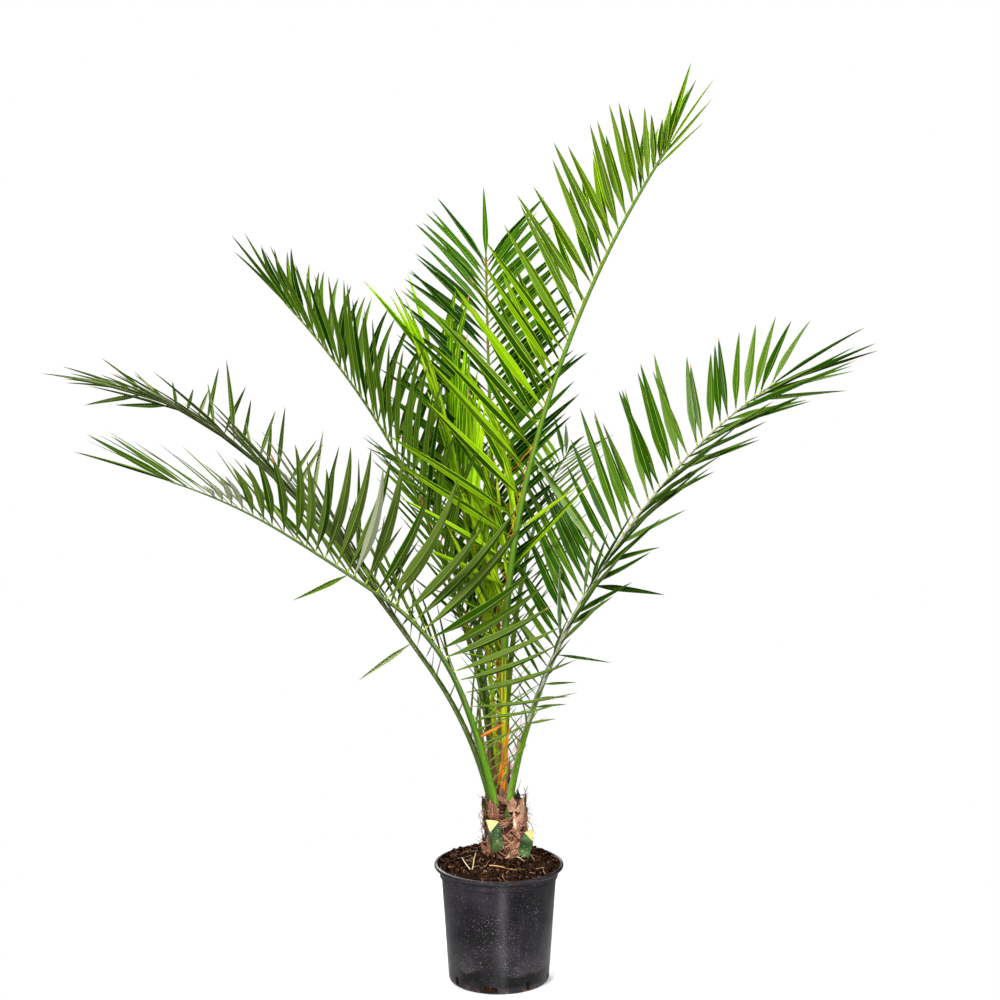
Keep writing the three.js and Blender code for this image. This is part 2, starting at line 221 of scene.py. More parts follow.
@dataclass(frozen=True)
class PlainFinish:
    """An even finish, for pieces whose colours are dealt out by face."""

    name: str
    colour: Colour
    roughness: float = 0.42
    gloss: float = 0.25

    def material(self) -> Material:
        """The finish's material, made once."""
        known = bpy.data.materials.get(self.name)
        if known:
            return known
        sheet = NodeSheet(self.name)
        sheet.put("Base Color", self.colour)
        sheet.put("Roughness", self.roughness)
        sheet.put("Specular IOR Level", self.gloss)
        return sheet.material


def even_finishes(name: str, tints: tuple[Colour, ...], roughness: float, gloss: float) -> list[Material]:
    """One even finish for each tint, in order, with numbered names."""
    return [PlainFinish(f"{name}_{k}", tint, roughness, gloss).material() for k, tint in enumerate(tints)]


@dataclass(frozen=True)
class PotPlastic:
    """Black moulded plastic with dust, scuffs and dirt at its foot. Heights are in metres."""

    name: str = "pot_plastic"
    deep: Colour = (0.0010, 0.0009, 0.0016)
    film: Colour = (0.0125, 0.0110, 0.0165)
    streak: Colour = (0.020, 0.018, 0.022)
    haze: Colour = (0.034, 0.030, 0.031)
    dust: Colour = (0.36, 0.31, 0.27)
    dirt: Colour = (0.150, 0.085, 0.050)
    scuff: Colour = (0.001, 0.001, 0.001)
    streak_stretch: Triple = (30.0, 30.0, 2.5)
    streak_share: float = 0.5
    haze_fade: Span = (0.120, 0.040)
    haze_share: float = 0.5
    scuff_start: Span = (0.012, 0.018)
    scuff_end: Span = (0.046, 0.040)
    scuff_sway: float = 0.012
    scuff_share: float = 0.92
    foot_fade: Span = (0.012, 0.002)
    foot_share: float = 0.85
    rim_fade: Span = (0.228, 0.240)
    rim_share: float = 0.18
    specks: tuple[Triple, ...] = ((240.0, 0.19, 0.55), (120.0, 0.11, 0.5), (430.0, 0.27, 0.55))
    speck_share: float = 0.85
    gloss: float = 0.13
    brushed: float = 0.9
    brushed_turn: float = 0.25
    roughness: Span = (0.36, 0.48)
    grain: float = 420.0
    grain_strength: float = 0.08
    grain_depth: float = 0.0006

    def worn(self, sheet: NodeSheet, height: Socket) -> Socket:
        """Where a swaying band near the foot is rubbed black, from 0 to 1."""
        sway = sheet.between(sheet.clouds(11.0, 2.0), 0.3, 0.7, -self.scuff_sway, self.scuff_sway)
        swayed = sheet.add("ShaderNodeMath", {0: height, 1: sway}, operation="ADD").outputs["Value"]
        band = sheet.times(sheet.between(swayed, *self.scuff_start), sheet.between(swayed, *self.scuff_end))
        return sheet.times(sheet.times(band, sheet.patches(13.0, 2.0, 0.42, 0.48)), self.scuff_share)

    def dusted(self, sheet: NodeSheet, colour: Socket, worn: Socket) -> Socket:
        """The colour with three sizes of drifting pale specks on it, fewer where it is worn."""
        drift = sheet.between(sheet.clouds(14.0, 3.0), 0.38, 0.6, 0.3, 1.0)
        drift = sheet.times(drift, sheet.between(worn, 0.0, 0.9, 1.0, 0.25))
        wobble = sheet.add("ShaderNodeMixRGB", {0: 0.006, 1: sheet.places, 2: sheet.noise_colour(90.0)})
        for scale, reach, share in self.specks:
            speck, chosen = sheet.cells(wobble.outputs[0], scale, reach, 0.6 * reach)
            shown = sheet.times(sheet.times(speck, drift), sheet.between(chosen, share, share + 0.4))
            colour = sheet.blended(sheet.times(shown, self.speck_share), colour, self.dust)
        return colour

    def material(self) -> Material:
        """Builds the finish from noise over the pot's own places."""
        sheet = NodeSheet(self.name)
        height = sheet.add("ShaderNodeSeparateXYZ", {0: sheet.places}).outputs["Z"]
        colour = sheet.blended(sheet.patches(9.0, 9.0, 0.40, 0.60), self.deep, self.film)
        streaks = sheet.between(sheet.clouds(1.0, 5.0, sheet.stretched(self.streak_stretch)), 0.5, 0.74)
        colour = sheet.blended(sheet.times(streaks, self.streak_share), colour, self.streak)
        haze = sheet.times(sheet.between(height, *self.haze_fade), sheet.patches(18.0, 6.0, 0.38, 0.64))
        colour = sheet.blended(sheet.times(haze, self.haze_share), colour, self.haze)
        worn = self.worn(sheet, height)
        colour = sheet.blended(worn, colour, self.scuff)
        foot = sheet.times(sheet.between(height, *self.foot_fade), sheet.patches(46.0, 6.0, 0.52, 0.62))
        colour = sheet.blended(sheet.times(foot, self.foot_share), colour, self.dirt)
        rim = sheet.times(sheet.between(height, *self.rim_fade), sheet.patches(55.0, 6.0, 0.46, 0.62))
        colour = sheet.blended(sheet.times(rim, self.rim_share), colour, self.dirt)
        sheet.join(self.dusted(sheet, colour, worn), "Base Color")
        sheet.put("Specular IOR Level", self.gloss)
        sheet.put("Anisotropic", self.brushed)
        sheet.put("Anisotropic Rotation", self.brushed_turn)
        around = sheet.add("ShaderNodeTangent", {}, direction_type="RADIAL", axis="Z")
        sheet.join(around.outputs["Tangent"], "Tangent")
        sheet.join(sheet.between(sheet.clouds(40.0, 5.0), 0.3, 0.7, *self.roughness), "Roughness")
        sheet.relief(sheet.clouds(self.grain, 3.0), self.grain_strength, self.grain_depth)
        return sheet.material


@dataclass(frozen=True)
class Mottled:
    """A rough natural finish of three colours, streaked along one axis."""

    name: str
    dark: Colour
    middle: Colour
    pale: Colour
    scale: float
    stretch: Triple = (1.0, 1.0, 1.0)
    roughness: float = 0.85
    relief: float = 0.5
    depth: float = 0.002
    gloss: float = 0.06

    def material(self) -> Material:
        """Builds the finish from two sizes of noise."""
        sheet = NodeSheet(self.name)
        places = sheet.stretched(self.stretch)
        coarse = sheet.clouds(self.scale, 6.0, places)
        fine = sheet.clouds(self.scale * 5.0, 6.0, places)
        colour = sheet.blended(sheet.between(coarse, 0.35, 0.62), self.dark, self.middle)
        colour = sheet.blended(sheet.between(fine, 0.52, 0.74), colour, self.pale)
        sheet.join(colour, "Base Color")
        sheet.put("Roughness", self.roughness)
        sheet.put("Specular IOR Level", self.gloss)
        sheet.relief(fine, self.relief, self.depth)
        return sheet.material


@dataclass(frozen=True)
class Speckled:
    """A smooth stalk skin with pale flecks."""

    name: str
    deep: Colour
    fresh: Colour
    fleck: Colour
    roughness: float = 0.3
    fleck_scale: float = 170.0

    def material(self) -> Material:
        """Builds the finish from noise and small round cells."""
        sheet = NodeSheet(self.name)
        colour = sheet.blended(sheet.between(sheet.clouds(60.0), 0.35, 0.65), self.deep, self.fresh)
        speck, chosen = sheet.cells(sheet.places, self.fleck_scale, 0.22, 0.12)
        colour = sheet.blended(sheet.times(speck, sheet.between(chosen, 0.38, 0.6)), colour, self.fleck)
        sheet.join(colour, "Base Color")
        sheet.put("Roughness", self.roughness)
        sheet.relief(sheet.clouds(300.0), 0.15, 0.0005)
        return sheet.material


class LeafSlot(IntEnum):
    """Places on a frond that take a colour of their own."""

    DEEP = 0
    MIDDLE = 1
    LIGHT = 2
    DULL = 3
    PALE = 4
    MIDRIB = 5
    ROOT = 6
    DRY = 7


class RibSlot(IntEnum):
    """Places on a frond's rib that take a colour of their own."""

    FACE = 0
    BACK = 1
    EDGE = 2
    FOOT = 3


@dataclass(frozen=True)
class LeafPalette:
    """Colours of one frond: three upper tints, two lower ones, its lines and its rib."""

    name: str
    deep: Colour
    middle: Colour
    light: Colour
    dull: Colour
    pale: Colour
    midrib: Colour
    root: Colour
    rib_face: Colour
    rib_back: Colour
    rib_edge: Colour
    rib_foot: Colour
    roughness: float = 0.32
    gloss: float = 0.07
    dry: Colour = (0.42, 0.22, 0.08)

    def leaf_materials(self) -> list[Material]:
        """The materials of the leaflets, in the order of LeafSlot."""
        tints = [
            ("deep", self.deep, self.roughness, 0.35 * self.gloss),
            ("middle", self.middle, self.roughness, 0.7 * self.gloss),
            ("light", self.light, self.roughness, 1.2 * self.gloss),
            ("dull", self.dull, 0.6, 0.04),
            ("pale", self.pale, 0.5, 0.1),
            ("midrib", self.midrib, 0.5, 0.08),
            ("root", self.root, 0.5, 0.08),
            ("dry", self.dry, 0.7, 0.05),
        ]
        return [PlainFinish(f"leaf_{self.name}_{part}", *values).material() for part, *values in tints]

    def rib_materials(self) -> list[Material]:
        """The materials of the rib, in the order of RibSlot."""
        tints = [
            ("face", self.rib_face, 0.42, 0.12),
            ("back", self.rib_back, 0.36, 0.16),
            ("edge", self.rib_edge, 0.45, 0.12),
            ("foot", self.rib_foot, 0.38, 0.1),
        ]
        return [PlainFinish(f"rib_{self.name}_{part}", *values).material() for part, *values in tints]


BRIGHT = LeafPalette(
    "bright", (0.016, 0.060, 0.001), (0.140, 0.285, 0.004), (0.400, 0.530, 0.008),
    (0.235, 0.460, 0.002), (0.108, 0.205, 0.026), (0.370, 0.500, 0.014), (0.360, 0.400, 0.040),
    (0.280, 0.130, 0.025), (0.054, 0.138, 0.010), (0.095, 0.190, 0.010), (0.400, 0.420, 0.006),
)
YOUNG = LeafPalette(
    "young", (0.042, 0.140, 0.001), (0.215, 0.460, 0.003), (0.370, 0.590, 0.006),
    (0.200, 0.400, 0.005), (0.240, 0.400, 0.030), (0.620, 0.680, 0.024), (0.420, 0.470, 0.030),
    (0.300, 0.400, 0.012), (0.230, 0.380, 0.008), (0.420, 0.460, 0.018), (0.450, 0.480, 0.008),
)
GLOSSY = LeafPalette(
    "glossy", (0.004, 0.028, 0.001), (0.042, 0.135, 0.002), (0.110, 0.245, 0.007),
    (0.070, 0.160, 0.010), (0.160, 0.240, 0.045), (0.200, 0.330, 0.024), (0.240, 0.180, 0.030),
    (0.110, 0.075, 0.020), (0.060, 0.140, 0.008), (0.170, 0.150, 0.025), (0.090, 0.170, 0.008),
    0.27, 0.2,
)
DARK = LeafPalette(
    "dark", (0.004, 0.024, 0.001), (0.044, 0.108, 0.002), (0.100, 0.180, 0.012),
    (0.052, 0.104, 0.006), (0.130, 0.170, 0.050), (0.140, 0.220, 0.026), (0.200, 0.250, 0.040),
    (0.050, 0.095, 0.008), (0.020, 0.055, 0.003), (0.090, 0.130, 0.014), (0.045, 0.085, 0.007),
)
GREY = LeafPalette(
    "grey", (0.022, 0.052, 0.002), (0.108, 0.156, 0.030), (0.200, 0.242, 0.100),
    (0.100, 0.140, 0.042), (0.230, 0.270, 0.140), (0.170, 0.220, 0.060), (0.240, 0.270, 0.070),
    (0.055, 0.090, 0.012), (0.030, 0.060, 0.007), (0.100, 0.130, 0.026), (0.045, 0.080, 0.012),
)
OLIVE = LeafPalette(
    "olive", (0.016, 0.054, 0.001), (0.076, 0.150, 0.006), (0.142, 0.208, 0.032),
    (0.098, 0.150, 0.026), (0.330, 0.360, 0.230), (0.190, 0.270, 0.030), (0.420, 0.470, 0.080),
    (0.080, 0.130, 0.022), (0.045, 0.105, 0.012), (0.120, 0.175, 0.040), (0.068, 0.165, 0.007),
)
FRESH = LeafPalette(
    "fresh", (0.016, 0.060, 0.001), (0.062, 0.140, 0.004), (0.122, 0.205, 0.034),
    (0.100, 0.150, 0.036), (0.230, 0.280, 0.130), (0.180, 0.280, 0.034), (0.420, 0.470, 0.090),
    (0.280, 0.300, 0.200), (0.220, 0.245, 0.150), (0.330, 0.345, 0.250), (0.085, 0.188, 0.006),
    0.21, 0.42,
)
SHADED = LeafPalette(
    "shaded", (0.018, 0.065, 0.002), (0.135, 0.280, 0.004), (0.240, 0.420, 0.012),
    (0.130, 0.230, 0.020), (0.160, 0.230, 0.050), (0.200, 0.300, 0.030), (0.300, 0.350, 0.060),
    (0.090, 0.160, 0.014), (0.065, 0.150, 0.010), (0.190, 0.240, 0.028), (0.080, 0.160, 0.008),
)

# Stem bark: its own mottled brown, with a near-black dark tone that is painted shade for the gaps between the
# strands and sheaths over it.
BARK_AND_GAP_SHADE = Mottled(
    "stem_bark_and_gap_shade", (0.005, 0.002, 0.001), (0.028, 0.012, 0.007), (0.130, 0.066, 0.042), 46.0, (1.0, 1.0, 0.22),
)
PAPER = Mottled(
    "stem_paper", (0.090, 0.036, 0.022), (0.25, 0.120, 0.074), (0.52, 0.31, 0.20), 55.0, (1.0, 1.0, 0.15),
    0.75, 0.35, 0.0012,
)
PALE_PAPER = Mottled(
    "stem_pale_paper", (0.30, 0.15, 0.090), (0.60, 0.36, 0.235), (0.84, 0.61, 0.43), 50.0, (1.0, 1.0, 0.2),
    0.75, 0.3, 0.0010,
)
GREEN_BASE = Mottled(
    "stem_green_base", (0.012, 0.040, 0.006), (0.040, 0.100, 0.014), (0.150, 0.190, 0.060), 60.0,
    (1.0, 1.0, 0.2), 0.5, 0.2, 0.0008,
)
EARTH = Mottled(
    "soil_earth", (0.003, 0.001, 0.0005), (0.014, 0.006, 0.003), (0.066, 0.037, 0.022), 60.0, relief=0.8,
    roughness=0.95,
)
STALK_SKIN = Speckled("stub_skin", (0.008, 0.028, 0.004), (0.060, 0.125, 0.036), (0.50, 0.60, 0.52))
CUT_FLESH = Mottled(
    "stub_cut", (0.42, 0.34, 0.11), (0.60, 0.53, 0.20), (0.74, 0.68, 0.34), 160.0, roughness=0.6,
    relief=0.2, depth=0.0006,
)


# Meshes from arrays


def faces_from(*corners: Array) -> Array:
    """Faces from arrays of their corners, one face a row."""
    return np.stack(corners, axis=-1).reshape(-1, len(corners))


def spread(slots: Array | int, count: int) -> Array:
    """Material numbers for a count of faces, from one number or one for each."""
    return np.broadcast_to(np.asarray(slots, dtype=np.int32).ravel(), (count,))


@dataclass
class MeshBatch:
    """Vertices, faces and material numbers that are gathered into one mesh."""

    points: list[Array] = field(default_factory=list)
    faces: list[Array] = field(default_factory=list)
    slots: list[Array] = field(default_factory=list)
    count: int = 0

    def add(self, points: Array, faces: list[Array], slots: list[Array | int]) -> None:
        """Adds one body.

        Args:
            points: Its vertices, one a row.
            faces: Arrays of triangles or quads that count from its first vertex.
            slots: The material number of each array's faces.
        """
        self.points.append(points)
        for group, slot in zip(faces, slots):
            self.faces.append(group + self.count)
            self.slots.append(spread(slot, len(group)))
        self.count += len(points)

    def add_tube(self, rings: Array, slots: Array | int) -> None:
        """Adds a closed body from rings of points.

        Args:
            rings: Points as rings by sides by three, each ring turning left about the way ahead.
            slots: One material number, or one for each of the tube's side faces.
        """
        count, sides = rings.shape[:2]
        at = np.arange(count * sides).reshape(count, sides)
        after = np.roll(at, -1, axis=1)
        walls = faces_from(at[:-1], after[:-1], after[1:], at[1:])
        ends = np.array([count * sides, count * sides + 1])
        low = faces_from(np.full(sides, ends[0]), after[0], at[0])
        high = faces_from(np.full(sides, ends[1]), at[-1], after[-1])
        points = np.vstack([rings.reshape(-1, 3), rings[0].mean(0), rings[-1].mean(0)])
        walls_slot = spread(slots, len(walls))
        self.add(points, [walls, low, high], [walls_slot, walls_slot[0], walls_slot[-1]])

    def add_sheet(self, top: Array, bottom: Array, top_slots: Array | int, bottom_slots: Array | int) -> None:
        """Adds a thin closed sheet.

        Args:
            top: Points of its upper side as rows by columns by three.
            bottom: Points of its lower side, laid out as the upper ones are.
            top_slots: One material number, or one for each upper face.
            bottom_slots: The same for the lower faces.
        """
        rows, columns = top.shape[:2]
        up = np.arange(rows * columns).reshape(rows, columns)
        down = up + rows * columns
        over = faces_from(up[:-1, :-1], up[1:, :-1], up[1:, 1:], up[:-1, 1:])
        under = faces_from(down[:-1, :-1], down[:-1, 1:], down[1:, 1:], down[1:, :-1])
        left = faces_from(up[:-1, 0], down[:-1, 0], down[1:, 0], up[1:, 0])
        right = faces_from(up[:-1, -1], up[1:, -1], down[1:, -1], down[:-1, -1])
        near = faces_from(up[0, :-1], up[0, 1:], down[0, 1:], down[0, :-1])
        far = faces_from(up[-1, :-1], down[-1, :-1], down[-1, 1:], up[-1, 1:])
        upper, lower = spread(top_slots, len(over)), spread(bottom_slots, len(under))
        edge = upper.reshape(rows - 1, columns - 1)
        points = np.vstack([top.reshape(-1, 3), bottom.reshape(-1, 3)])
        faces = [over, under, left, right, near, far]
        self.add(points, faces, [upper, lower, edge[:, 0], edge[:, -1], edge[0], edge[-1]])

    def build(self, name: str, materials: list[Material], crease: float = 34.0) -> Piece:
        """Makes the object.

        Args:
            name: The piece's name.
            materials: Its materials, in the order of the material numbers.
            crease: Angle in degrees above which an edge stays sharp.

        Returns:
            The new object, in the scene.
        """
        mesh = bpy.data.meshes.new(name)
        points = np.vstack(self.points) * MILLIMETRE
        sizes = np.concatenate([np.full(len(group), group.shape[1]) for group in self.faces])
        corners = np.concatenate([group.ravel() for group in self.faces])
        mesh.vertices.add(len(points))
        mesh.vertices.foreach_set("co", points.astype(np.float32).ravel())
        mesh.loops.add(len(corners))
        mesh.loops.foreach_set("vertex_index", corners.astype(np.int32))
        mesh.polygons.add(len(sizes))
        starts = np.concatenate([[0], np.cumsum(sizes)[:-1]])
        mesh.polygons.foreach_set("loop_start", starts.astype(np.int32))
        mesh.polygons.foreach_set("material_index", np.concatenate(self.slots).astype(np.int32))
        for material in materials:
            mesh.materials.append(material)
        mesh.update(calc_edges=True)
        mesh.polygons.foreach_set("use_smooth", np.ones(len(sizes), dtype=bool))
        mesh.set_sharp_from_angle(angle=math.radians(crease))
        piece = bpy.data.objects.new(name, mesh)
        bpy.context.scene.collection.objects.link(piece)
        return piece


def rings_along(path: Array, radii: Array, sides: int) -> Array:
    """Round rings of points along a path.

    Args:
        path: The path's points, one a row.
        radii: The radius at each point.
        sides: Points in a ring.

    Returns:
        The points as rings by sides by three.
    """
    ahead = np.gradient(path, axis=0)
    ahead /= np.linalg.norm(ahead, axis=1, keepdims=True)
    spare = UP if abs(ahead[0] @ UP) < 0.9 else np.array([1.0, 0.0, 0.0])
    one = np.cross(ahead, spare)
    one /= np.linalg.norm(one, axis=1, keepdims=True)
    other = np.cross(ahead, one)
    turns = full_turn(sides)
    circle = np.cos(turns)[None, :, None] * one[:, None] + np.sin(turns)[None, :, None] * other[:, None]
    return path[:, None] + circle * radii[:, None, None]


def settle(piece: Piece, slot: str, *nodes: str) -> Piece:
    """Lets a piece ride on the palm and stand for solids.

    Args:
        piece: The finished piece.
        slot: The record's material slot; not used.
        *nodes: Names of the solids that it stands for.

    Returns:
        The same piece.
    """
    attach(piece, BODY)
    if nodes:
        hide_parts(*nodes)
    log.info("%s: %d faces", piece.name, len(piece.data.polygons))
    return piece


# Fronds


@dataclass(frozen=True)
class Dip:
    """A stretch of a row whose leaflets stay short and fade: its middle, its spread and the length left."""

    place: float
    spread: float
    share: float

    def left_at(self, place: float) -> float:
        """Share of the usual length that is left at a place in the row."""
        return 1.0 - (1.0 - self.share) * math.exp(-(((place - self.place) / self.spread) ** 2))


@dataclass(frozen=True)
class LeafRow:
    """One side's row of leaflets: how many, and first and last angle off the rib and above the blade."""

    count: int
    angle: Span
    rise: Span
    scale: float = 1.0
    crowding: float = 1.12
    bow: float = 0.0
    brighter: float = 0.0
    splay: float = 0.0
    close_in: float = 6.0
    slim: float = 1.0
    stray: float = 8.0
    tip_slim: float = 1.0
    grey_from: float = 2.0
    lowest: float = 0.22
    dip: Dip | None = None


@dataclass(frozen=True)
class Stray:
    """One leaflet that stands out of its row, at a share of the rib."""

    share: float
    side: int
    angle: float
    rise: float
    length: float
    width: float = 0.7
    brighter: float = 0.0


@dataclass(frozen=True)
class RowRule:
    """How leaflets are spaced, swell and fall in length, close in and stray."""

    stagger: float = 0.35
    spare: float = 0.4
    last_share: float = 0.99
    rise_until: float = 0.3
    rise_power: float = 0.8
    fall_from: float = 0.45
    fall_power: float = 1.3
    splay_end: float = 6.0
    level_off: float = 4.0
    stray_place: float = 0.4
    stray_rise: float = 16.0
    stray_length: float = 0.02
    least: float = 24.0
    first_width: float = 0.34
    widened_by: Span = (-0.02, 0.26)
    slimmed_by: Span = (0.55, 0.85)
    stray_grey: float = 0.3
    faded_below: float = 0.42
    last_sunk: float = 10.0
    last_width: float = 0.72

    def length_share(self, place: float, lowest: float, end_share: float) -> float:
        """Length as a share of the longest leaflet, at a place from 0 to 1 in the row."""
        grown = min(1.0, place / self.rise_until) ** self.rise_power
        fallen = max(0.0, (place - self.fall_from) / (1.0 - self.fall_from)) ** self.fall_power
        return mix(lowest, 1.0, grown) * (1.0 - (1.0 - end_share) * fallen)


@dataclass(frozen=True)
class Site:
    """Where a leaflet stands: its start, the way ahead, its upper side, length and width share."""

    start: Array
    ahead: Array
    upper: Array
    length: float
    width: float
    bow: Array
    brighter: float = 0.0
    faded: bool = False
    greyed: bool = False


@dataclass(frozen=True)
class BladeForm:
    """Measures that every leaflet shares. Angles are in degrees."""

    stations: int = 18
    crowding: float = 1.12
    across: tuple[float, ...] = (
        -1.0, -0.9, -0.7, -0.6, -0.34, -0.24, -0.07, 0.0, 0.07, 0.24, 0.34, 0.6, 0.7, 0.9, 1.0,
    )
    stripes: tuple[int, ...] = (2, 4, 9, 11)
    half_width: float = 12.4
    width_stray: Span = (0.9, 1.08)
    narrowest: float = 0.45
    full_width_length: float = 450.0
    widest_at: float = 0.38
    root_share: float = 0.24
    tip_power: float = 0.78
    tip_belly: float = 0.32
    tip_least: float = 0.012
    fold_root: float = 58.0
    fold_middle: float = 34.0
    fold_tip: float = 46.0
    folded_by: Span = (0.0, 0.25)
    thickness: float = 0.45
    slimmest: float = 0.2
    keel: float = 1.1
    keel_fall: float = 0.75
    swelling: float = 2.0
    swelling_reach: float = 9.0
    pleat: float = 0.22
    pleats: float = 2.5
    roll: float = 18.0
    twist: float = 26.0
    droop: float = 0.05
    droop_power: float = 2.2
    sway: float = 0.04
    root_until: float = 0.03
    dry_chance: float = 0.2
    dry_longest: float = 0.1
    # Share of leaflets whose one half takes a deeper tint, as painted shade of the midrib fold.
    painted_fold_shade_chance: float = 0.65
    deep_stripe_chance: float = 0.6
    deep_below: float = 0.3
    middle_below: float = 0.72
    pale_above: float = 0.988

    def outline(self, reach: Array) -> Array:
        """Half the blade's width along its length, as a share of the widest."""
        swelling = mix(self.root_share, 1.0, ease(0.0, self.widest_at, reach))
        late = np.clip((reach - self.widest_at) / (1.0 - self.widest_at), 0.0, 1.0)
        tapering = (1.0 - late) ** self.tip_power * (1.0 + self.tip_belly * late)
        return np.where(reach < self.widest_at, swelling, np.maximum(tapering, self.tip_least))

    def add_to(self, batch: MeshBatch, site: Site, key: Key) -> None:
        """Adds one leaflet, folded along its midrib.

        Args:
            batch: The frond's leaflets so far.
            site: Where the leaflet stands.
            key: Whole numbers that pick its small differences.
        """
        def pick(kind: int) -> float:
            """A steady number from 0 to 1 for this leaflet."""
            return chance(*key, kind)

        reach = np.linspace(0.0, 1.0, self.stations) ** self.crowding
        across = np.array(self.across)
        least = min(1.0, self.narrowest + site.length / self.full_width_length)
        half = self.half_width * least * site.width * mix(*self.width_stray, pick(5)) * self.outline(reach)
        fold = np.radians(mix(self.fold_root, self.fold_middle, ease(*self.folded_by, reach))
                          + (self.fold_tip - self.fold_middle) * reach ** 3)
        wide = unit(np.cross(site.upper, site.ahead))
        turn = np.radians(self.roll * (pick(6) - 0.5) + self.twist * (pick(7) - 0.5) * reach)
        flat = np.cos(turn)[:, None] * wide + np.sin(turn)[:, None] * site.upper
        over = np.cos(turn)[:, None] * site.upper - np.sin(turn)[:, None] * wide
        fall = -UP + (UP @ site.ahead) * site.ahead
        spine = site.start + site.ahead * (reach * site.length)[:, None]
        spine = spine + site.bow * (4.0 * site.length * reach * (1.0 - reach))[:, None]
        spine = spine + fall * (self.droop * pick(8) * site.length * reach ** self.droop_power)[:, None]
        spine = spine + wide * (self.sway * (pick(9) - 0.5) * site.length * reach ** 2)[:, None]
        sideways = across[None] * (half * np.cos(fold))[:, None]
        away = np.abs(across)[None]
        lift = away * (half * np.sin(fold))[:, None]
        full = np.minimum(half / self.half_width, 1.0)[:, None]
        lift = lift + self.pleat * np.sin(away * math.pi * self.pleats) * full
        top = spine[:, None] + flat[:, None] * sideways[..., None] + over[:, None] * lift[..., None]
        swelling = self.swelling * np.exp(-reach * site.length / self.swelling_reach)
        keel = self.keel * (1.0 - self.keel_fall * reach) + swelling
        slim = np.minimum(1.0, self.slimmest + half / self.half_width)
        depth = self.thickness * slim[:, None] + (keel * slim)[:, None] * (1.0 - away) ** 2
        bottom = top - over[:, None] * depth[..., None]
        batch.add_sheet(top, bottom, *self.dealt(reach, key, site))

    def dealt(self, reach: Array, key: Key, site: Site) -> tuple[Array, Array]:
        """Material numbers of a leaflet's upper and lower faces: pale edges and midrib, deeper stripes
        between, and often one half deepened as painted shade of its fold.

        Args:
            reach: The stations along the blade, from 0 to 1.
            key: Whole numbers that pick its tints.
            site: Where the leaflet stands, and whether it is brighter or faded.

        Returns:
            The numbers of the upper and of the lower faces, as rows by columns.
        """
        tint = chance(*key, 10) + site.brighter
        upper = LeafSlot.MIDDLE if tint < self.middle_below else LeafSlot.LIGHT
        upper = LeafSlot.DEEP if tint < self.deep_below else upper
        pale = site.faded or chance(*key, 11) > self.pale_above
        lower = LeafSlot.PALE if pale else LeafSlot.DULL
        lower_tint = LeafSlot.PALE if site.greyed else lower
        upper = LeafSlot.PALE if site.faded else upper
        rows, columns = len(reach) - 1, len(self.across) - 1
        top = np.full((rows, columns), upper)
        bottom = np.full((rows, columns), lower_tint)
        half = columns // 2
        # Painted shade: on many leaflets one half of the blade, picked at random, takes a deeper tint on both
        # faces, standing in for the shaded side of the fold.
        paints_fold_shade = chance(*key, 14) < self.painted_fold_shade_chance
        fold_shade_half = slice(1, half - 1) if chance(*key, 15) < 0.5 else slice(half + 1, columns - 1)
        striped = list(self.stripes)
        edges = [0, columns - 1]
        if upper in (LeafSlot.MIDDLE, LeafSlot.LIGHT):
            if paints_fold_shade:
                top[:, fold_shade_half] = upper - 1
            top[:, striped] = upper - 1
        if upper in (LeafSlot.DEEP, LeafSlot.MIDDLE):
            top[:, edges] = upper + 1
        if lower is LeafSlot.DULL:
            if paints_fold_shade:
                bottom[:, fold_shade_half] = LeafSlot.DEEP
            deep = chance(*key, 16) < self.deep_stripe_chance
            bottom[:, striped] = LeafSlot.DEEP if deep else LeafSlot.MIDDLE
            bottom[:, edges] = LeafSlot.LIGHT
        middle = slice(half - 1, half + 1)
        centres = (reach[:-1] + reach[1:]) / 2.0
        dries = chance(*key, 12) < self.dry_chance
        for side in (top, bottom):
            side[:, middle] = LeafSlot.MIDRIB
            side[centres < self.root_until] = LeafSlot.ROOT
            if dries:
                side[centres > 1.0 - self.dry_longest * chance(*key, 13)] = LeafSlot.DRY
        return top, bottom


@dataclass(frozen=True)
class RibForm:
    """Measures that every rib shares."""

    samples: int = 60
    tip_half_width: float = 2.4
    fall: float = 1.3
    thickness: float = 0.72
    deep_from: float = 0.2
    swing_power: float = 1.5
    stations: int = 84
    sides: int = 18
    buried: float = 26.0
    slip: float = 16.0
    clasp: float = 0.3
    clasp_reach: float = 46.0
    base_rings: int = 4
    lined: float = 0.6
    face_from: float = 0.62
    crowding: float = 1.2
    leaflet_root: float = 0.55
    inset: float = 0.97
    base_narrowing: float = 0.35
    side_power: float = 0.75
    up_power: float = 0.8
    upper_share: float = 0.72
    edge_until: float = 0.3
    foot_until: float = 0.35
    foot_least: float = 0.45


@dataclass(frozen=True)
class SpineForm:
    """Measures that every spine shares. Angles are in degrees."""

    sides: int = 6
    reach: tuple[float, ...] = (0.0, 0.12, 0.5, 0.85, 1.0)
    radii: tuple[float, ...] = (2.4, 2.0, 1.6, 0.9, 0.15)
    girth: Span = (0.75, 1.15)
    full_length: float = 200.0
    earliest: float = 0.2
    stray_place: float = 0.6
    first_share: float = 0.014
    past_bare: float = 0.02
    shortest: float = 0.35
    length_stray: Span = (0.8, 1.1)
    first_angle: float = 44.0
    stray_angle: float = 22.0
    stray_rise: float = 40.0
    bow: float = 0.05
    dry_chance: float = 0.4


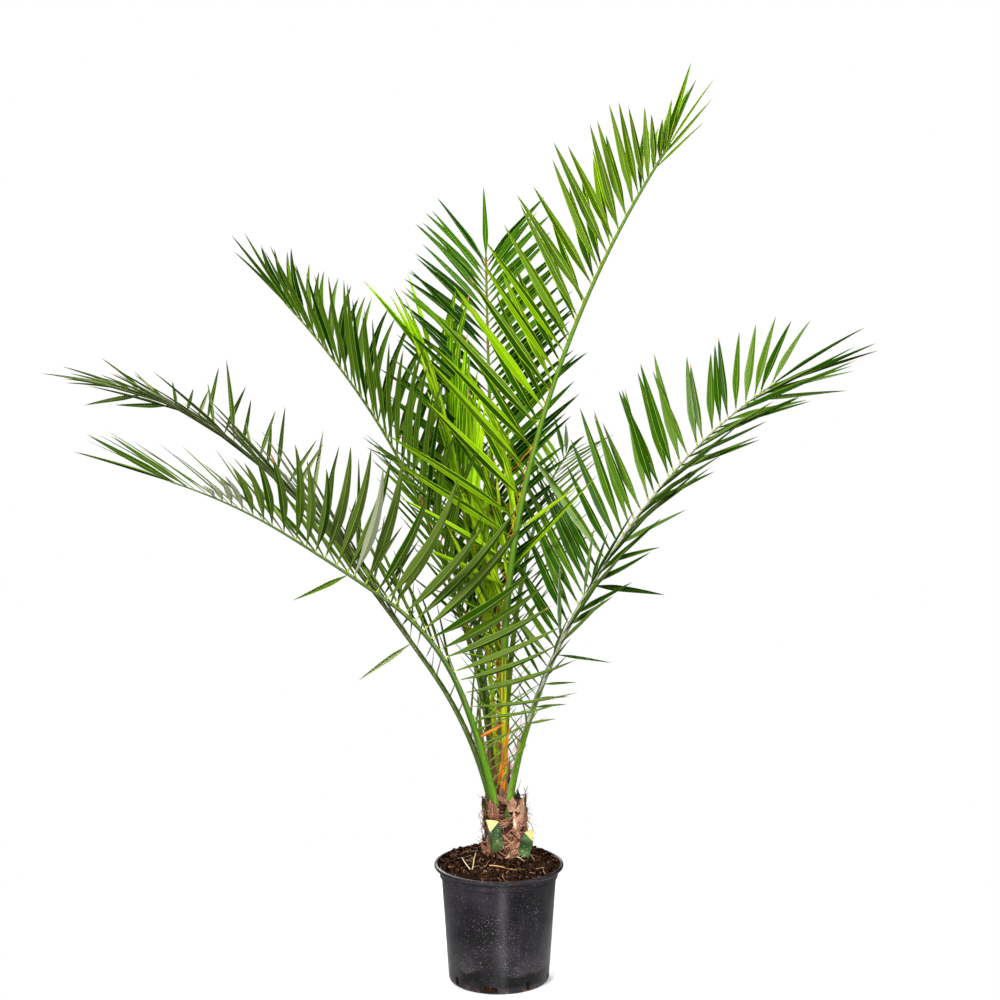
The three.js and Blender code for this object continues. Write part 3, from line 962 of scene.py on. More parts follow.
@dataclass(frozen=True)
class StemForm:
    """The stem's outer size: a leaning column with a flare at its foot."""

    foot_x: float = 15.0
    top_x: float = 10.0
    bottom: float = 246.3
    top: float = 372.0
    flare_radius: float = 51.0
    waist_radius: float = 40.0
    top_radius: float = 42.0
    flare_reach: float = 0.22

    def share(self, height: float | Array) -> float | Array:
        """The share of the stem's height at a height, held at its ends."""
        return np.clip((height - self.bottom) / (self.top - self.bottom), 0.0, 1.0)

    def axis(self, height: float | Array) -> float | Array:
        """Where the stem's middle is along X at a height."""
        return mix(self.foot_x, self.top_x, self.share(height))

    def radius(self, height: float | Array) -> float | Array:
        """The stem's radius at a height."""
        share = self.share(height)
        flare = (self.flare_radius - self.waist_radius) * np.exp(-share / self.flare_reach)
        return mix(self.waist_radius, self.top_radius, share) + flare

    def spot(self, turn: Array, height: Array, out: Array) -> Array:
        """Points at turns in radians and at heights, a distance out from the stem's outer size."""
        reach = self.radius(height) + out
        return np.stack([self.axis(height) + reach * np.cos(turn), reach * np.sin(turn), height], axis=-1)


ROW_RULE = RowRule()
BLADE = BladeForm()
RIB = RibForm()
SPINE = SpineForm()
STEM = StemForm()


@dataclass(frozen=True)
class Frond:
    """One feather frond: its stalk and rib, two rows of leaflets, and spines at its foot."""

    name: str
    seed: int
    slot: str
    palette: LeafPalette
    foot: Span
    foot_half_width: float
    turn: float
    leans: tuple[float, float, float, float, float]
    swing: float
    length: float
    bare: float
    leaf: float
    end_share: float
    left: LeafRow
    right: LeafRow
    spines: int = 5
    longest_spine: float = 80.0
    strays: tuple[Stray, ...] = ()
    deep_rib: float = 0.72
    foot_reach: float = 190.0

    def frames(self) -> Frames:
        """Points and directions along the rib: along it, across the blade, out of its face."""
        shares = np.linspace(0.0, 1.0, RIB.samples + 1)
        lean = np.radians(np.interp(shares, np.linspace(0.0, 1.0, len(self.leans)), self.leans))
        turn = np.radians(self.turn + self.swing * shares ** RIB.swing_power)
        flat = np.zeros_like(turn)
        outward = np.stack([np.cos(turn), np.sin(turn), flat], axis=1)
        along = np.sin(lean)[:, None] * outward + np.cos(lean)[:, None] * UP
        across = np.stack([-np.sin(turn), np.cos(turn), flat], axis=1)
        face = -np.cos(lean)[:, None] * outward + np.sin(lean)[:, None] * UP
        steps = (along[1:] + along[:-1]) * 0.5 * self.length / RIB.samples
        start = np.array([*self.foot, STEM.top])
        point = start + np.vstack([np.zeros(3), np.cumsum(steps, axis=0)])
        return {"share": shares, "point": point, "along": along, "across": across, "face": face}

    @staticmethod
    def frame_at(frames: Frames, share: float) -> tuple[Array, Array, Array, Array]:
        """The rib's point and its three directions at a share of its length."""
        def between(key: str) -> Array:
            """One of the rib's rows of vectors at the share."""
            return np.array([np.interp(share, frames["share"], values) for values in frames[key].T])

        return tuple(between(key) for key in ("point", "along", "across", "face"))

    def half_width(self, share: float | Array) -> float | Array:
        """Half the rib's width at a share of its length."""
        return RIB.tip_half_width + (self.foot_half_width - RIB.tip_half_width) * (1.0 - share) ** RIB.fall

    def thickness(self, share: float) -> float:
        """The rib's thickness as a share of its width."""
        return mix(RIB.thickness, self.deep_rib, ease(0.0, RIB.deep_from, share))

    def site(self, frames: Frames, side: int, index: int) -> Site:
        """Where one leaflet of a row stands.

        Args:
            frames: The rib's points and directions.
            side: 1 for the left row, -1 for the right one.
            index: The leaflet's number in its row.

        Returns:
            The leaflet's site.
        """
        row = self.left if side > 0 else self.right

        def stray(kind: int) -> float:
            """A steady number from -0.5 to 0.5 for this leaflet."""
            return chance(self.seed, side, index, kind) - 0.5

        slot = index + 0.5 + (ROW_RULE.stagger if side > 0 else 0.0) + ROW_RULE.stray_place * stray(1)
        place = min(slot / (row.count + ROW_RULE.spare), 1.0)
        share = min(mix(self.bare, 1.0, 1.0 - (1.0 - place) ** row.crowding), ROW_RULE.last_share)
        splay = row.splay * (1.0 - place) ** ROW_RULE.splay_end
        angle = mix(*row.angle, place ** row.close_in) + splay + row.stray * stray(2)
        rise = mix(*row.rise, place ** ROW_RULE.level_off) + ROW_RULE.stray_rise * stray(3)
        longest = self.leaf * row.scale * (1.0 + ROW_RULE.stray_length * row.stray * stray(4))
        left = row.dip.left_at(place) if row.dip else 1.0
        run = (share - self.bare) / (1.0 - self.bare)
        length = longest * ROW_RULE.length_share(run, row.lowest, self.end_share) * left
        width = mix(ROW_RULE.first_width, 1.0, ease(*ROW_RULE.widened_by, place)) * row.slim
        width = width * mix(1.0, row.tip_slim, ease(*ROW_RULE.slimmed_by, place))
        site = self.turned_site(frames, share, side, angle, rise, length, width)
        along = self.frame_at(frames, share)[1]
        bow = unit(along - (along @ site.ahead) * site.ahead) * row.bow
        faded = left < ROW_RULE.faded_below
        greyed = place + ROW_RULE.stray_grey * stray(5) > row.grey_from
        return replace(site, bow=bow, brighter=row.brighter, faded=faded, greyed=greyed)

    def turned_site(self, frames: Frames, share: float, side: int, angle: float, rise: float,
                    length: float, width: float) -> Site:
        """A site from its share of the rib and its two angles.

        Args:
            frames: The rib's points and directions.
            share: Share of the rib's length.
            side: 1 for the left row, -1 for the right one.
            angle: Degrees off the rib.
            rise: Degrees above the blade's plane.
            length: The leaflet's length.
            width: Its width as a share of a full one.

        Returns:
            The leaflet's site.
        """
        point, along, across, face = self.frame_at(frames, share)
        off, above = math.radians(angle), math.radians(rise)
        outward = across * side * math.cos(above) + face * math.sin(above)
        ahead = unit(along * math.cos(off) + outward * math.sin(off))
        upper = unit(np.cross(along, ahead)) * side
        start = point + across * side * RIB.leaflet_root * self.half_width(share)
        return Site(start, ahead, upper, length, width, np.zeros(3))

    def build_leaflets(self, frames: Frames) -> Piece:
        """Both rows of leaflets, the one that ends the rib, and the stray ones."""
        batch = MeshBatch()
        for side, row in ((-1, self.right), (1, self.left)):
            for index in range(row.count):
                site = self.site(frames, side, index)
                if site.length > ROW_RULE.least:
                    BLADE.add_to(batch, site, (self.seed, side, index))
        point, along, _, face = self.frame_at(frames, 1.0)
        start, length = point - ROW_RULE.last_sunk * along, self.leaf * self.end_share
        last = Site(start, along, face, length, ROW_RULE.last_width, np.zeros(3))
        BLADE.add_to(batch, last, (self.seed, 0, 0))
        for number, one in enumerate(self.strays):
            site = self.turned_site(frames, one.share, one.side, one.angle, one.rise, one.length, one.width)
            BLADE.add_to(batch, replace(site, brighter=one.brighter), (self.seed, 2, number))
        return batch.build(f"{self.name}_leaflets", self.palette.leaf_materials())

    def base_ring(self, frames: Frames, depth: float, side: Array, up: Array) -> Array:
        """One ring of the leaf base, which narrows and slips inwards into the stem.

        Args:
            frames: The rib's points and directions.
            depth: How far below the stem's top the ring lies.
            side: The section's points across, as shares of its half width.
            up: The section's points out of its face, as shares of its half width.

        Returns:
            The ring's points.
        """
        point, along, across, face = self.frame_at(frames, 0.0)
        sunk = depth / RIB.buried
        half = self.half_width(0.0) * RIB.inset * (1.0 - RIB.base_narrowing * sunk)
        wide = half * (1.0 + RIB.clasp)
        inward = unit(np.array([STEM.top_x - self.foot[0], -self.foot[1], 0.0])) * RIB.slip * sunk
        section = across * (side * wide)[:, None] + face * (up * half * RIB.thickness)[:, None]
        return point - along * depth + inward + section

    def build_rib(self, frames: Frames) -> Piece:
        """The stalk and rib: rounded below, flat above, with a base that clasps the stem."""
        batch = MeshBatch()
        shares = np.linspace(0.0, 1.0, RIB.stations) ** RIB.crowding
        turns = full_turn(RIB.sides)
        flat, tall = np.cos(turns), np.sin(turns)
        side = -np.sign(flat) * np.abs(flat) ** RIB.side_power
        up = np.where(tall > 0.0, RIB.upper_share, 1.0) * np.sign(tall) * np.abs(tall) ** RIB.up_power
        depths = np.linspace(RIB.buried, 0.0, RIB.base_rings, endpoint=False)
        rings = [self.base_ring(frames, depth, side, up) for depth in depths]
        for share in shares:
            point, _, across, face = self.frame_at(frames, share)
            clasp = 1.0 + RIB.clasp * math.exp(-share * self.length / RIB.clasp_reach)
            half = self.half_width(share) * RIB.inset
            flat, thick = side * half * clasp, up * half * self.thickness(share)
            rings.append(point + across * flat[:, None] + face * thick[:, None])
        shares = np.concatenate([-depths / self.length, shares])
        slots = np.full((len(shares) - 1, RIB.sides), RibSlot.BACK)
        middle = np.sin(turns + math.pi / RIB.sides)
        lined = np.array([chance(self.seed, k // 2, 7, 1) < RIB.lined for k in range(len(slots))])
        slots[lined[:, None] & (middle[None] > RIB.face_from)] = RibSlot.FACE
        slots[:, np.abs(middle) < RIB.edge_until] = RibSlot.EDGE
        picked = np.array([RIB.foot_least + chance(self.seed, k, 3, 5) for k in range(RIB.sides)])
        ends = self.foot_reach * picked
        low = (shares[1:, None] * self.length < ends[None]) & (middle[None] <= RIB.foot_until)
        slots[low] = RibSlot.FOOT
        batch.add_tube(np.array(rings), slots.ravel())
        return batch.build(f"{self.name}_rib", self.palette.rib_materials(), 50.0)

    def build_spines(self, frames: Frames) -> Piece:
        """Thin stiff spines on both edges of the stalk, below the leaflets."""
        batch = MeshBatch()
        for side in (-1, 1):
            row = self.left if side > 0 else self.right
            for index in range(self.spines):
                def pick(kind: int) -> float:
                    """A steady number from 0 to 1 for this spine."""
                    return chance(self.seed, side * 3, index, kind)

                place = (index + SPINE.earliest + SPINE.stray_place * pick(1)) / self.spines
                share = mix(SPINE.first_share, self.bare + SPINE.past_bare, place)
                length = self.longest_spine * mix(SPINE.shortest, 1.0, place)
                length = length * mix(*SPINE.length_stray, pick(2))
                angle = mix(SPINE.first_angle, row.angle[0], place) + SPINE.stray_angle * (pick(3) - 0.5)
                rise = row.rise[0] + SPINE.stray_rise * (pick(4) - 0.5)
                site = self.turned_site(frames, share, side, angle, rise, length, 1.0)
                reach = np.array(SPINE.reach)
                arch = SPINE.bow * length * (pick(5) - 0.5) * reach * (1.0 - reach)
                path = site.start + site.ahead * (reach * length)[:, None] + site.upper * arch[:, None] * 4.0
                radii = np.array(SPINE.radii) * mix(*SPINE.girth, length / SPINE.full_length)
                tip = LeafSlot.DRY if pick(6) < SPINE.dry_chance else LeafSlot.DULL
                tints = np.repeat([LeafSlot.MIDDLE, LeafSlot.DULL, LeafSlot.MIDDLE, tip], SPINE.sides)
                batch.add_tube(rings_along(path, radii, SPINE.sides), tints)
        return batch.build(f"{self.name}_spines", self.palette.leaf_materials(), 60.0)

    def build(self) -> None:
        """Makes the frond's three pieces, which stand for its solid."""
        frames = self.frames()
        settle(self.build_rib(frames), self.slot, self.name)
        settle(self.build_leaflets(frames), self.slot, self.name)
        settle(self.build_spines(frames), self.slot)


FRONDS = (
    Frond("frond_right_tall", 0, "young_frond", BRIGHT, (16.5, -4.5), 9.0, -6.0,
          (-4.8, 3.0, 13.8, 23.2, 33.2), 0.0, 1355.0, 0.18, 310.0, 0.5,
          LeafRow(28, (56.0, 24.0), (52.0, 20.0), 0.95, 1.45, brighter=-0.35, dip=Dip(0.86, 0.06, 0.62)),
          LeafRow(33, (54.0, 20.0), (62.0, 40.0), 1.0, 1.6, splay=22.0, slim=0.92, grey_from=0.42,
                  dip=Dip(0.9, 0.08, 0.5)),
          6, 90.0,
          (Stray(0.98, 1, 17.0, 104.0, 182.0, 0.85, -0.1), Stray(0.975, 1, 9.0, -80.0, 150.0, 0.4),
           Stray(0.955, 1, 14.0, -85.0, 135.0, 0.35),
           Stray(0.4, -1, 43.0, -80.0, 165.0, 0.45), Stray(0.345, -1, 34.0, -80.0, 262.0, 0.5),
           *(Stray(0.18 + 0.017 * k, 1, 13.0 + 5.0 * (k % 4), 76.0 + 10.0 * (k % 4), 300.0 - 6.0 * k, 0.46,
                   0.5 - 0.5 * (k % 2))
             for k in range(16))),
          deep_rib=1.3, foot_reach=330.0),
    Frond("frond_left_dark", 1, "frond", DARK, (-13.5, 18.6), 9.0, 160.0,
          (-0.8, 16.2, 22.6, 36.0, 46.0), 0.6, 1106.0, 0.2, 285.0, 0.58,
          LeafRow(38, (48.0, 20.0), (58.0, 35.0), bow=0.05, slim=0.8),
          LeafRow(38, (52.0, 20.0), (33.0, 20.0), bow=0.05, slim=0.8),
          6, 80.0),
    Frond("frond_left_high", 2, "frond", GREY, (-18.0, -2.0), 9.5, 176.0,
          (13.0, 35.0, 38.0, 50.9, 75.0), -0.7, 1145.0, 0.24, 215.0, 0.5,
          LeafRow(48, (38.0, 18.0), (18.0, -15.0), 1.32, slim=0.66, stray=18.0, tip_slim=0.8),
          LeafRow(38, (66.0, 24.0), (32.0, 10.0), 0.88, slim=0.55, stray=42.0), 6, 70.0,
          (Stray(0.31, 1, 88.0, -75.0, 128.0), Stray(0.95, 1, 30.0, -70.0, 120.0),
           Stray(0.9, 1, 24.0, -75.0, 110.0))),
    Frond("frond_left_low", 3, "frond", OLIVE, (-8.0, -29.0), 11.5, 203.0,
          (11.9, 22.9, 53.5, 56.5, 69.9), -2.8, 976.0, 0.17, 262.0, 0.75,
          LeafRow(34, (82.0, 24.0), (52.0, 30.0), 1.2, bow=-0.04, splay=14.0, close_in=1.6, lowest=0.6,
                  dip=Dip(1.0, 0.32, 0.0)),
          LeafRow(32, (62.0, 22.0), (25.0, 12.0), slim=0.65, tip_slim=0.35), 8, 190.0,
          (Stray(0.6, 1, 54.0, -78.0, 125.0), Stray(0.985, 1, 9.0, 90.0, 190.0, 0.6),
           Stray(0.96, 1, 13.0, 85.0, 180.0, 0.5))),
    Frond("frond_right_low", 4, "frond", FRESH, (20.0, -27.0), 11.5, -12.0,
          (9.0, 21.5, 31.4, 40.2, 55.4), 0.0, 1012.0, 0.18, 280.0, 0.72,
          LeafRow(40, (70.0, 36.0), (56.0, 48.0), 1.0, 1.0, close_in=9.0, slim=0.96, stray=12.0,
                  dip=Dip(1.0, 0.3, 0.78)),
          LeafRow(38, (48.0, 18.0), (-10.0, -30.0), 1.15, bow=-0.03, slim=0.68, stray=16.0),
          8, 110.0, (Stray(0.47, -1, 62.0, -58.0, 175.0), Stray(0.52, -1, 52.0, -30.0, 190.0),
                     Stray(0.34, 1, 28.0, 75.0, 165.0, 0.6), Stray(0.44, 1, 23.0, 75.0, 140.0, 0.6),
                     Stray(0.465, 1, 13.0, 75.0, 112.0, 0.6), Stray(0.165, -1, 57.0, -80.0, 62.0, 0.45),
                     Stray(0.2, -1, 60.0, -80.0, 72.0, 0.45), Stray(0.22, -1, 62.0, -80.0, 70.0, 0.45),
                     Stray(0.25, -1, 60.0, -80.0, 74.0, 0.45), Stray(0.315, -1, 68.0, -80.0, 118.0, 0.45),
                     Stray(0.965, -1, 22.0, -80.0, 180.0, 0.45), Stray(0.94, -1, 30.0, -80.0, 185.0, 0.5))),
    Frond("frond_back_upright", 5, "young_frond", GLOSSY, (6.0, 22.5), 8.0, 100.0,
          (3.0, 12.5, 17.5, 21.7, 26.8), -8.0, 1127.0, 0.2, 270.0, 0.65,
          LeafRow(44, (52.0, 38.0), (25.0, 15.0), slim=0.85),
          LeafRow(44, (52.0, 38.0), (25.0, 15.0), slim=0.88, brighter=-0.25, dip=Dip(0.1, 0.3, 0.44)),
          5, 70.0),
    Frond("frond_young", 6, "young_frond", YOUNG, (0.0, 2.0), 6.5, 125.0,
          (4.1, 9.9, 15.7, 21.7, 27.2), -2.0, 898.0, 0.26, 280.0, 0.78,
          LeafRow(28, (13.0, 36.0), (42.0, 12.0), slim=0.86),
          LeafRow(28, (13.0, 36.0), (42.0, 12.0), slim=0.86),
          4, 50.0),
    Frond("frond_back_right", 7, "frond", SHADED, (8.0, 37.5), 8.0, 78.0,
          (8.0, 22.0, 42.0, 60.0, 76.0), -6.0, 900.0, 0.22, 250.0, 0.6,
          LeafRow(26, (50.0, 22.0), (44.0, 20.0), slim=0.7, stray=18.0),
          LeafRow(24, (48.0, 24.0), (30.0, 12.0), 0.76, slim=0.42, stray=24.0), 6, 90.0),
    Frond("frond_back_left", 8, "frond", DARK, (-11.0, 37.5), 8.0, 106.0,
          (8.0, 25.0, 44.0, 60.0, 74.0), 6.0, 860.0, 0.22, 240.0, 0.6,
          LeafRow(25, (50.0, 22.0), (38.0, 14.0), slim=0.55, stray=20.0),
          LeafRow(25, (50.0, 20.0), (44.0, 20.0), slim=0.7, stray=18.0), 6, 90.0),
)


@dataclass(frozen=True)
class Spear:
    """The next leaf, still folded shut: a slim pleated lance in the middle of the palm."""

    foot: Span = (11.0, 10.5)
    length: float = 430.0
    radius: float = 4.2
    tip: float = 0.25
    bow: float = 4.0
    pleats: int = 7
    pleat_depth: float = 0.16
    pleat_twist: float = 2.5
    pale_from: float = 0.3
    stations: int = 36
    sunk: float = 0.05
    pointed_by: Span = (0.9, 1.0)
    pointed: float = 0.85

    def build(self) -> None:
        """Makes the lance, which stands for its solid."""
        batch = MeshBatch()
        sides = self.pleats * 4
        turns = full_turn(sides)
        rings = []
        for share in np.linspace(-self.sunk, 1.0, self.stations):
            point = 1.0 - self.pointed * ease(*self.pointed_by, share)
            radius = self.radius * mix(1.0, self.tip, max(share, 0.0)) * point
            crease = np.cos(turns * self.pleats + self.pleat_twist * share)
            wave = 1.0 - self.pleat_depth * (1.0 + crease) / 2.0
            x, height = self.foot[0] - self.bow * share ** 2, STEM.top + self.length * share
            rings.append(np.array([x, self.foot[1], height]) + ring_at(radius * wave, turns, 0.0))
        pale = np.cos((turns + math.pi / sides) * self.pleats) > self.pale_from
        stripe = np.where(pale, LeafSlot.MIDRIB, LeafSlot.LIGHT)
        batch.add_tube(np.array(rings), np.tile(stripe, self.stations - 1))
        settle(batch.build("spear_leaf", YOUNG.leaf_materials()), "spear", "spear")


# Stem


class Fibre(IntEnum):
    """Tints of the loose fibres and dry sheaths."""

    RUSSET = 0
    TAN = 1
    UMBER = 2
    ORANGE = 3

    @staticmethod
    def materials() -> list[Material]:
        """One even finish for each tint, in order."""
        tints = {"russet": (0.25, 0.105, 0.066), "tan": (0.50, 0.30, 0.17),
                 "umber": (0.032, 0.013, 0.008), "orange": (0.66, 0.20, 0.016)}
        return [PlainFinish(f"fibre_{name}", tint, 0.7, 0.06).material() for name, tint in tints.items()]


class Sheath(IntEnum):
    """Finishes of the dry sheaths."""

    PAPER = 0
    # The bark finish, whose near-black tone is partly painted shade.
    BARK_AND_GAP_SHADE = 1
    PALE = 2
    GREEN = 3

    @staticmethod
    def materials() -> list[Material]:
        """One material for each finish, in order."""
        return [finish.material() for finish in (PAPER, BARK_AND_GAP_SHADE, PALE_PAPER, GREEN_BASE)]


@dataclass(frozen=True)
class Flap:
    """One dry sheath against the stem: turn, half its spread, heights, peel, peak, slant and finish."""

    turn: float
    spread: float
    low: float
    high: float
    peel: float
    point: float = 0.5
    slant: float = 0.0
    finish: Sheath = Sheath.PAPER


@dataclass(frozen=True)
class Stem:
    """The short stem: old leaf bases, cut stubs, papery sheaths and loose fibres."""

    core_rows: int = 54
    core_sides: int = 110
    core_ends: Span = (6.0, 5.0)
    core_rounding: float = 9.0
    scales: int = 13
    scale_turn: float = 137.5
    first_scale: float = 20.0
    scale_tops: Span = (24.0, 6.0)
    scale_sag: float = 16.0
    scale_half: float = 1.1
    scale_lip: float = 2.0
    scale_fade: Span = (-70.0, -8.0)
    scale_side: Span = (1.25, 0.95)
    scale_height: float = 2.6
    core_inset: float = 4.0
    stub_points: int = 24
    stub_rings: int = 14
    stub_width: float = 35.0
    stub_keel: float = 15.0
    stub_back: float = 9.0
    stub_length: float = 62.0
    stub_root: float = 1.12
    stub_tilt: float = 20.0
    cut_slope: float = 0.8
    stub_sink: float = -1.0
    stubs: tuple[Span, ...] = ((247.0, 338.0), (320.0, 312.0), (70.0, 338.0), (116.0, 312.0))
    flaps: tuple[Flap, ...] = (
        Flap(276.0, 10.0, 336.0, 370.0, 0.5, 0.5, 0.0, Sheath.GREEN),
        Flap(190.0, 13.0, 326.0, 388.0, 1.0, 0.5, 0.0, Sheath.GREEN),
        Flap(350.0, 8.0, 316.0, 394.0, 2.0, 0.5, 0.0, Sheath.GREEN),
        Flap(240.0, 24.0, 340.0, 390.0, 10.0, 0.4, 4.0),
        Flap(332.0, 22.0, 352.0, 406.0, 8.0, 0.75, 0.0, Sheath.PALE),
        Flap(293.0, 18.0, 356.0, 392.0, 5.0, 0.4, -8.0, Sheath.PALE),
        Flap(318.0, 25.0, 322.0, 374.0, 3.0, 0.6, 8.0, Sheath.PALE),
        Flap(268.0, 5.0, 318.0, 366.0, 2.0, 0.6, -16.0, Sheath.BARK_AND_GAP_SHADE),
        Flap(280.0, 8.0, 366.0, 396.0, 8.0, 0.5, -40.0),
        Flap(220.0, 15.0, 270.0, 308.0, 4.0, 0.5, 6.0),
        Flap(284.0, 9.0, 250.0, 312.0, 1.5, 0.5, 10.0, Sheath.BARK_AND_GAP_SHADE),
        Flap(290.0, 5.0, 252.0, 316.0, 5.0, 0.5, 58.0, Sheath.PALE),
        Flap(356.0, 14.0, 250.0, 298.0, 2.0, 0.5, 0.0, Sheath.BARK_AND_GAP_SHADE),
        Flap(204.0, 18.0, 296.0, 360.0, 2.0, 0.4, 0.0, Sheath.BARK_AND_GAP_SHADE),
        Flap(152.0, 10.0, 248.0, 276.0, 14.0),
        Flap(20.0, 28.0, 300.0, 380.0, 3.0, 0.6),
        Flap(62.0, 28.0, 312.0, 386.0, 4.0, 0.35, -10.0, Sheath.PALE),
        Flap(110.0, 28.0, 306.0, 382.0, 4.0, 0.6, 12.0), Flap(160.0, 26.0, 312.0, 380.0, 3.0, 0.4),
        Flap(60.0, 36.0, 250.0, 304.0, 2.0, 0.4), Flap(120.0, 34.0, 252.0, 306.0, 2.0, 0.6, 0.0, Sheath.BARK_AND_GAP_SHADE),
        Flap(186.0, 30.0, 250.0, 304.0, 2.0, 0.4),
        Flap(296.0, 11.0, 262.0, 352.0, 1.5, 0.6, 26.0),
        Flap(304.0, 7.0, 300.0, 372.0, 4.0, 0.4, -22.0, Sheath.PALE),
    )
    flap_rows: int = 16
    flap_columns: int = 22
    flap_narrowing: float = 0.72
    flap_thickness: float = 0.5
    strands: int = 110
    strand_turns: Span = (195.0, 340.0)
    strand_sweep: Span = (24.0, 60.0)
    strand_heights: Span = (272.0, 334.0)
    strand_slant: float = 36.0
    strand_radii: Span = (0.6, 1.4)
    fibres: int = 430
    fibre_heights: Span = (252.0, 374.0)
    fibre_lengths: Span = (14.0, 52.0)
    fibre_radii: Span = (0.3, 0.8)
    fibre_steps: int = 9
    orange_threads: tuple[int, ...] = (0, 6, 5, 1)
    russet_threads: tuple[int, ...] = (2, 2, 3, 4, 0)
    seed: int = 11

    def build_core(self) -> Piece:
        """The stem's own mesh, with the relief of overlapping leaf bases."""
        rows, sides = self.core_rows, self.core_sides
        turns = full_turn(sides)
        heights = np.linspace(STEM.bottom - self.core_ends[0], STEM.top + self.core_ends[1], rows)
        turn, height = np.meshgrid(turns, heights)
        lift = np.zeros_like(turn)
        for number in range(self.scales):
            middle = math.radians(self.scale_turn * number + self.first_scale)
            first, last = STEM.bottom + self.scale_tops[0], STEM.top + self.scale_tops[1]
            top = mix(first, last, number / (self.scales - 1))
            aside = np.abs((turn - middle + math.pi) % math.tau - math.pi)
            below = height - (top - self.scale_sag * (aside / self.scale_half) ** 2)
            under = ease(self.scale_lip, -self.scale_lip, below) * ease(*self.scale_fade, below)
            lift = np.maximum(lift, self.scale_height * under * ease(*self.scale_side, aside))
        lift = lift - self.core_inset
        flat = STEM.spot(turn, height, lift).reshape(-1, 3)
        streaked = flat * np.array([1.0, 1.0, 0.25])
        rough = 0.9 * rumple(flat, 9.0, 3.0) + 0.7 * rumple(streaked, 2.6, 8.0)
        inward = ease(STEM.top - 4.0, STEM.top + self.core_ends[1], height.ravel()) * self.core_rounding
        rings = STEM.spot(turn.ravel(), height.ravel(), lift.ravel() + rough - inward).reshape(rows, sides, 3)
        batch = MeshBatch()
        batch.add_tube(rings, 0)
        # The body takes the bark finish, whose near-black tone is painted shade in the gaps between the
        # strands.
        return batch.build("stem_bark_body", [BARK_AND_GAP_SHADE.material()], 60.0)

    def stub_outline(self) -> Array:
        """A stub's section: a three-cornered ring with full sides and blunt corners."""
        corners = np.radians([90.0, 210.0, 330.0])
        outline = []
        for k in range(self.stub_points):
            part = k * 3.0 / self.stub_points
            first, second = corners[int(part) % 3], corners[(int(part) + 1) % 3]
            blend = part - int(part)
            straight = mix(np.array([math.cos(first), math.sin(first)]),
                           np.array([math.cos(second), math.sin(second)]), blend)
            bulge = 1.0 + 0.3 * blend * (1.0 - blend) - 0.08 * (1.0 - 4.0 * blend * (1.0 - blend))
            outline.append(straight * bulge)
        return np.array(outline)

    def build_stubs(self) -> Piece:
        """The cut leaf stalks: keeled wedges with a slanting pale cut."""
        batch = MeshBatch()
        across, out_of = self.stub_outline().T
        keeled = np.where(out_of > 0.0, out_of * self.stub_keel, out_of * self.stub_back)
        steps = np.concatenate([np.linspace(0.0, 0.985, self.stub_rings), [1.0, 1.0, 1.0]])
        inners = [1.0] * (self.stub_rings + 1) + [0.94, 0.3]
        for number, (turn, height) in enumerate(self.stubs):
            root = STEM.radius(height) - self.stub_sink
            tilt, about = math.radians(self.stub_tilt), math.radians(turn)
            rings = []
            for step, inner in zip(steps, inners):
                size = mix(self.stub_root, 1.0, step)
                out = keeled * size * inner
                side = across * self.stub_width / 2.0 * size * inner
                ripple = 0.5 * math.sin(9.0 * step + number)
                slope = self.cut_slope * max(0.0, step - 0.5) * 2.0
                above = (step - 1.0) * self.stub_length - out * slope
                lean_out = out * math.cos(tilt) + above * math.sin(tilt) + ripple
                lean_up = above * math.cos(tilt) - out * math.sin(tilt)
                reach = lean_out + root + self.stub_length * math.sin(tilt)
                x = STEM.axis(height) + reach * math.cos(about) - side * math.sin(about)
                y = reach * math.sin(about) + side * math.cos(about)
                rings.append(np.stack([x, y, height + lean_up], axis=1))
            slots = np.zeros((len(rings) - 1, self.stub_points), dtype=np.int32)
            slots[-2:] = 1
            batch.add_tube(np.array(rings), slots.ravel())
        return batch.build("stem_cut_stubs", [STALK_SKIN.material(), CUT_FLESH.material()], 40.0)

    def build_flaps(self) -> Piece:
        """Dry papery sheaths with torn tops, wrapped round the stem."""
        batch = MeshBatch()
        rows, columns = self.flap_rows, self.flap_columns
        for number, flap in enumerate(self.flaps):
            across = np.linspace(-1.0, 1.0, columns)
            upward = np.linspace(0.0, 1.0, rows)
            torn = np.array([chance(self.seed, number, k, 1) for k in range(columns)])
            torn = 0.55 * torn + 0.45 * np.convolve(torn, np.ones(5) / 5.0, mode="same")
            crest = 1.0 - 0.55 * np.abs((across + 1.0) / 2.0 - flap.point) * 1.4 - 0.22 * torn
            share = upward[:, None] * crest[None]
            height = mix(flap.low, flap.high, share)
            narrow = mix(1.0, self.flap_narrowing, upward)[:, None]
            sway = flap.slant * (upward - 0.5) + 5.0 * np.sin(3.0 * upward + number)
            turn = np.radians(flap.turn + flap.spread * across[None] * narrow + sway[:, None])
            places = np.stack([turn * 42.0, height, np.full_like(turn, 30.0 * number)], axis=-1)
            crumple = rumple(places, 9.0, 5.0).reshape(rows, columns)
            out = 0.2 + 0.1 * number + flap.peel * share ** 2.2 + 1.6 * crumple + 0.35 * np.sin(turn * 150.0)
            out = out - 2.6 * np.abs(across[None]) ** 3
            outer = STEM.spot(turn, height, out)
            inner = STEM.spot(turn, height, out - self.flap_thickness)
            batch.add_sheet(inner, outer, Sheath.BARK_AND_GAP_SHADE, flap.finish)
        return batch.build("stem_dry_sheaths", Sheath.materials(), 50.0)

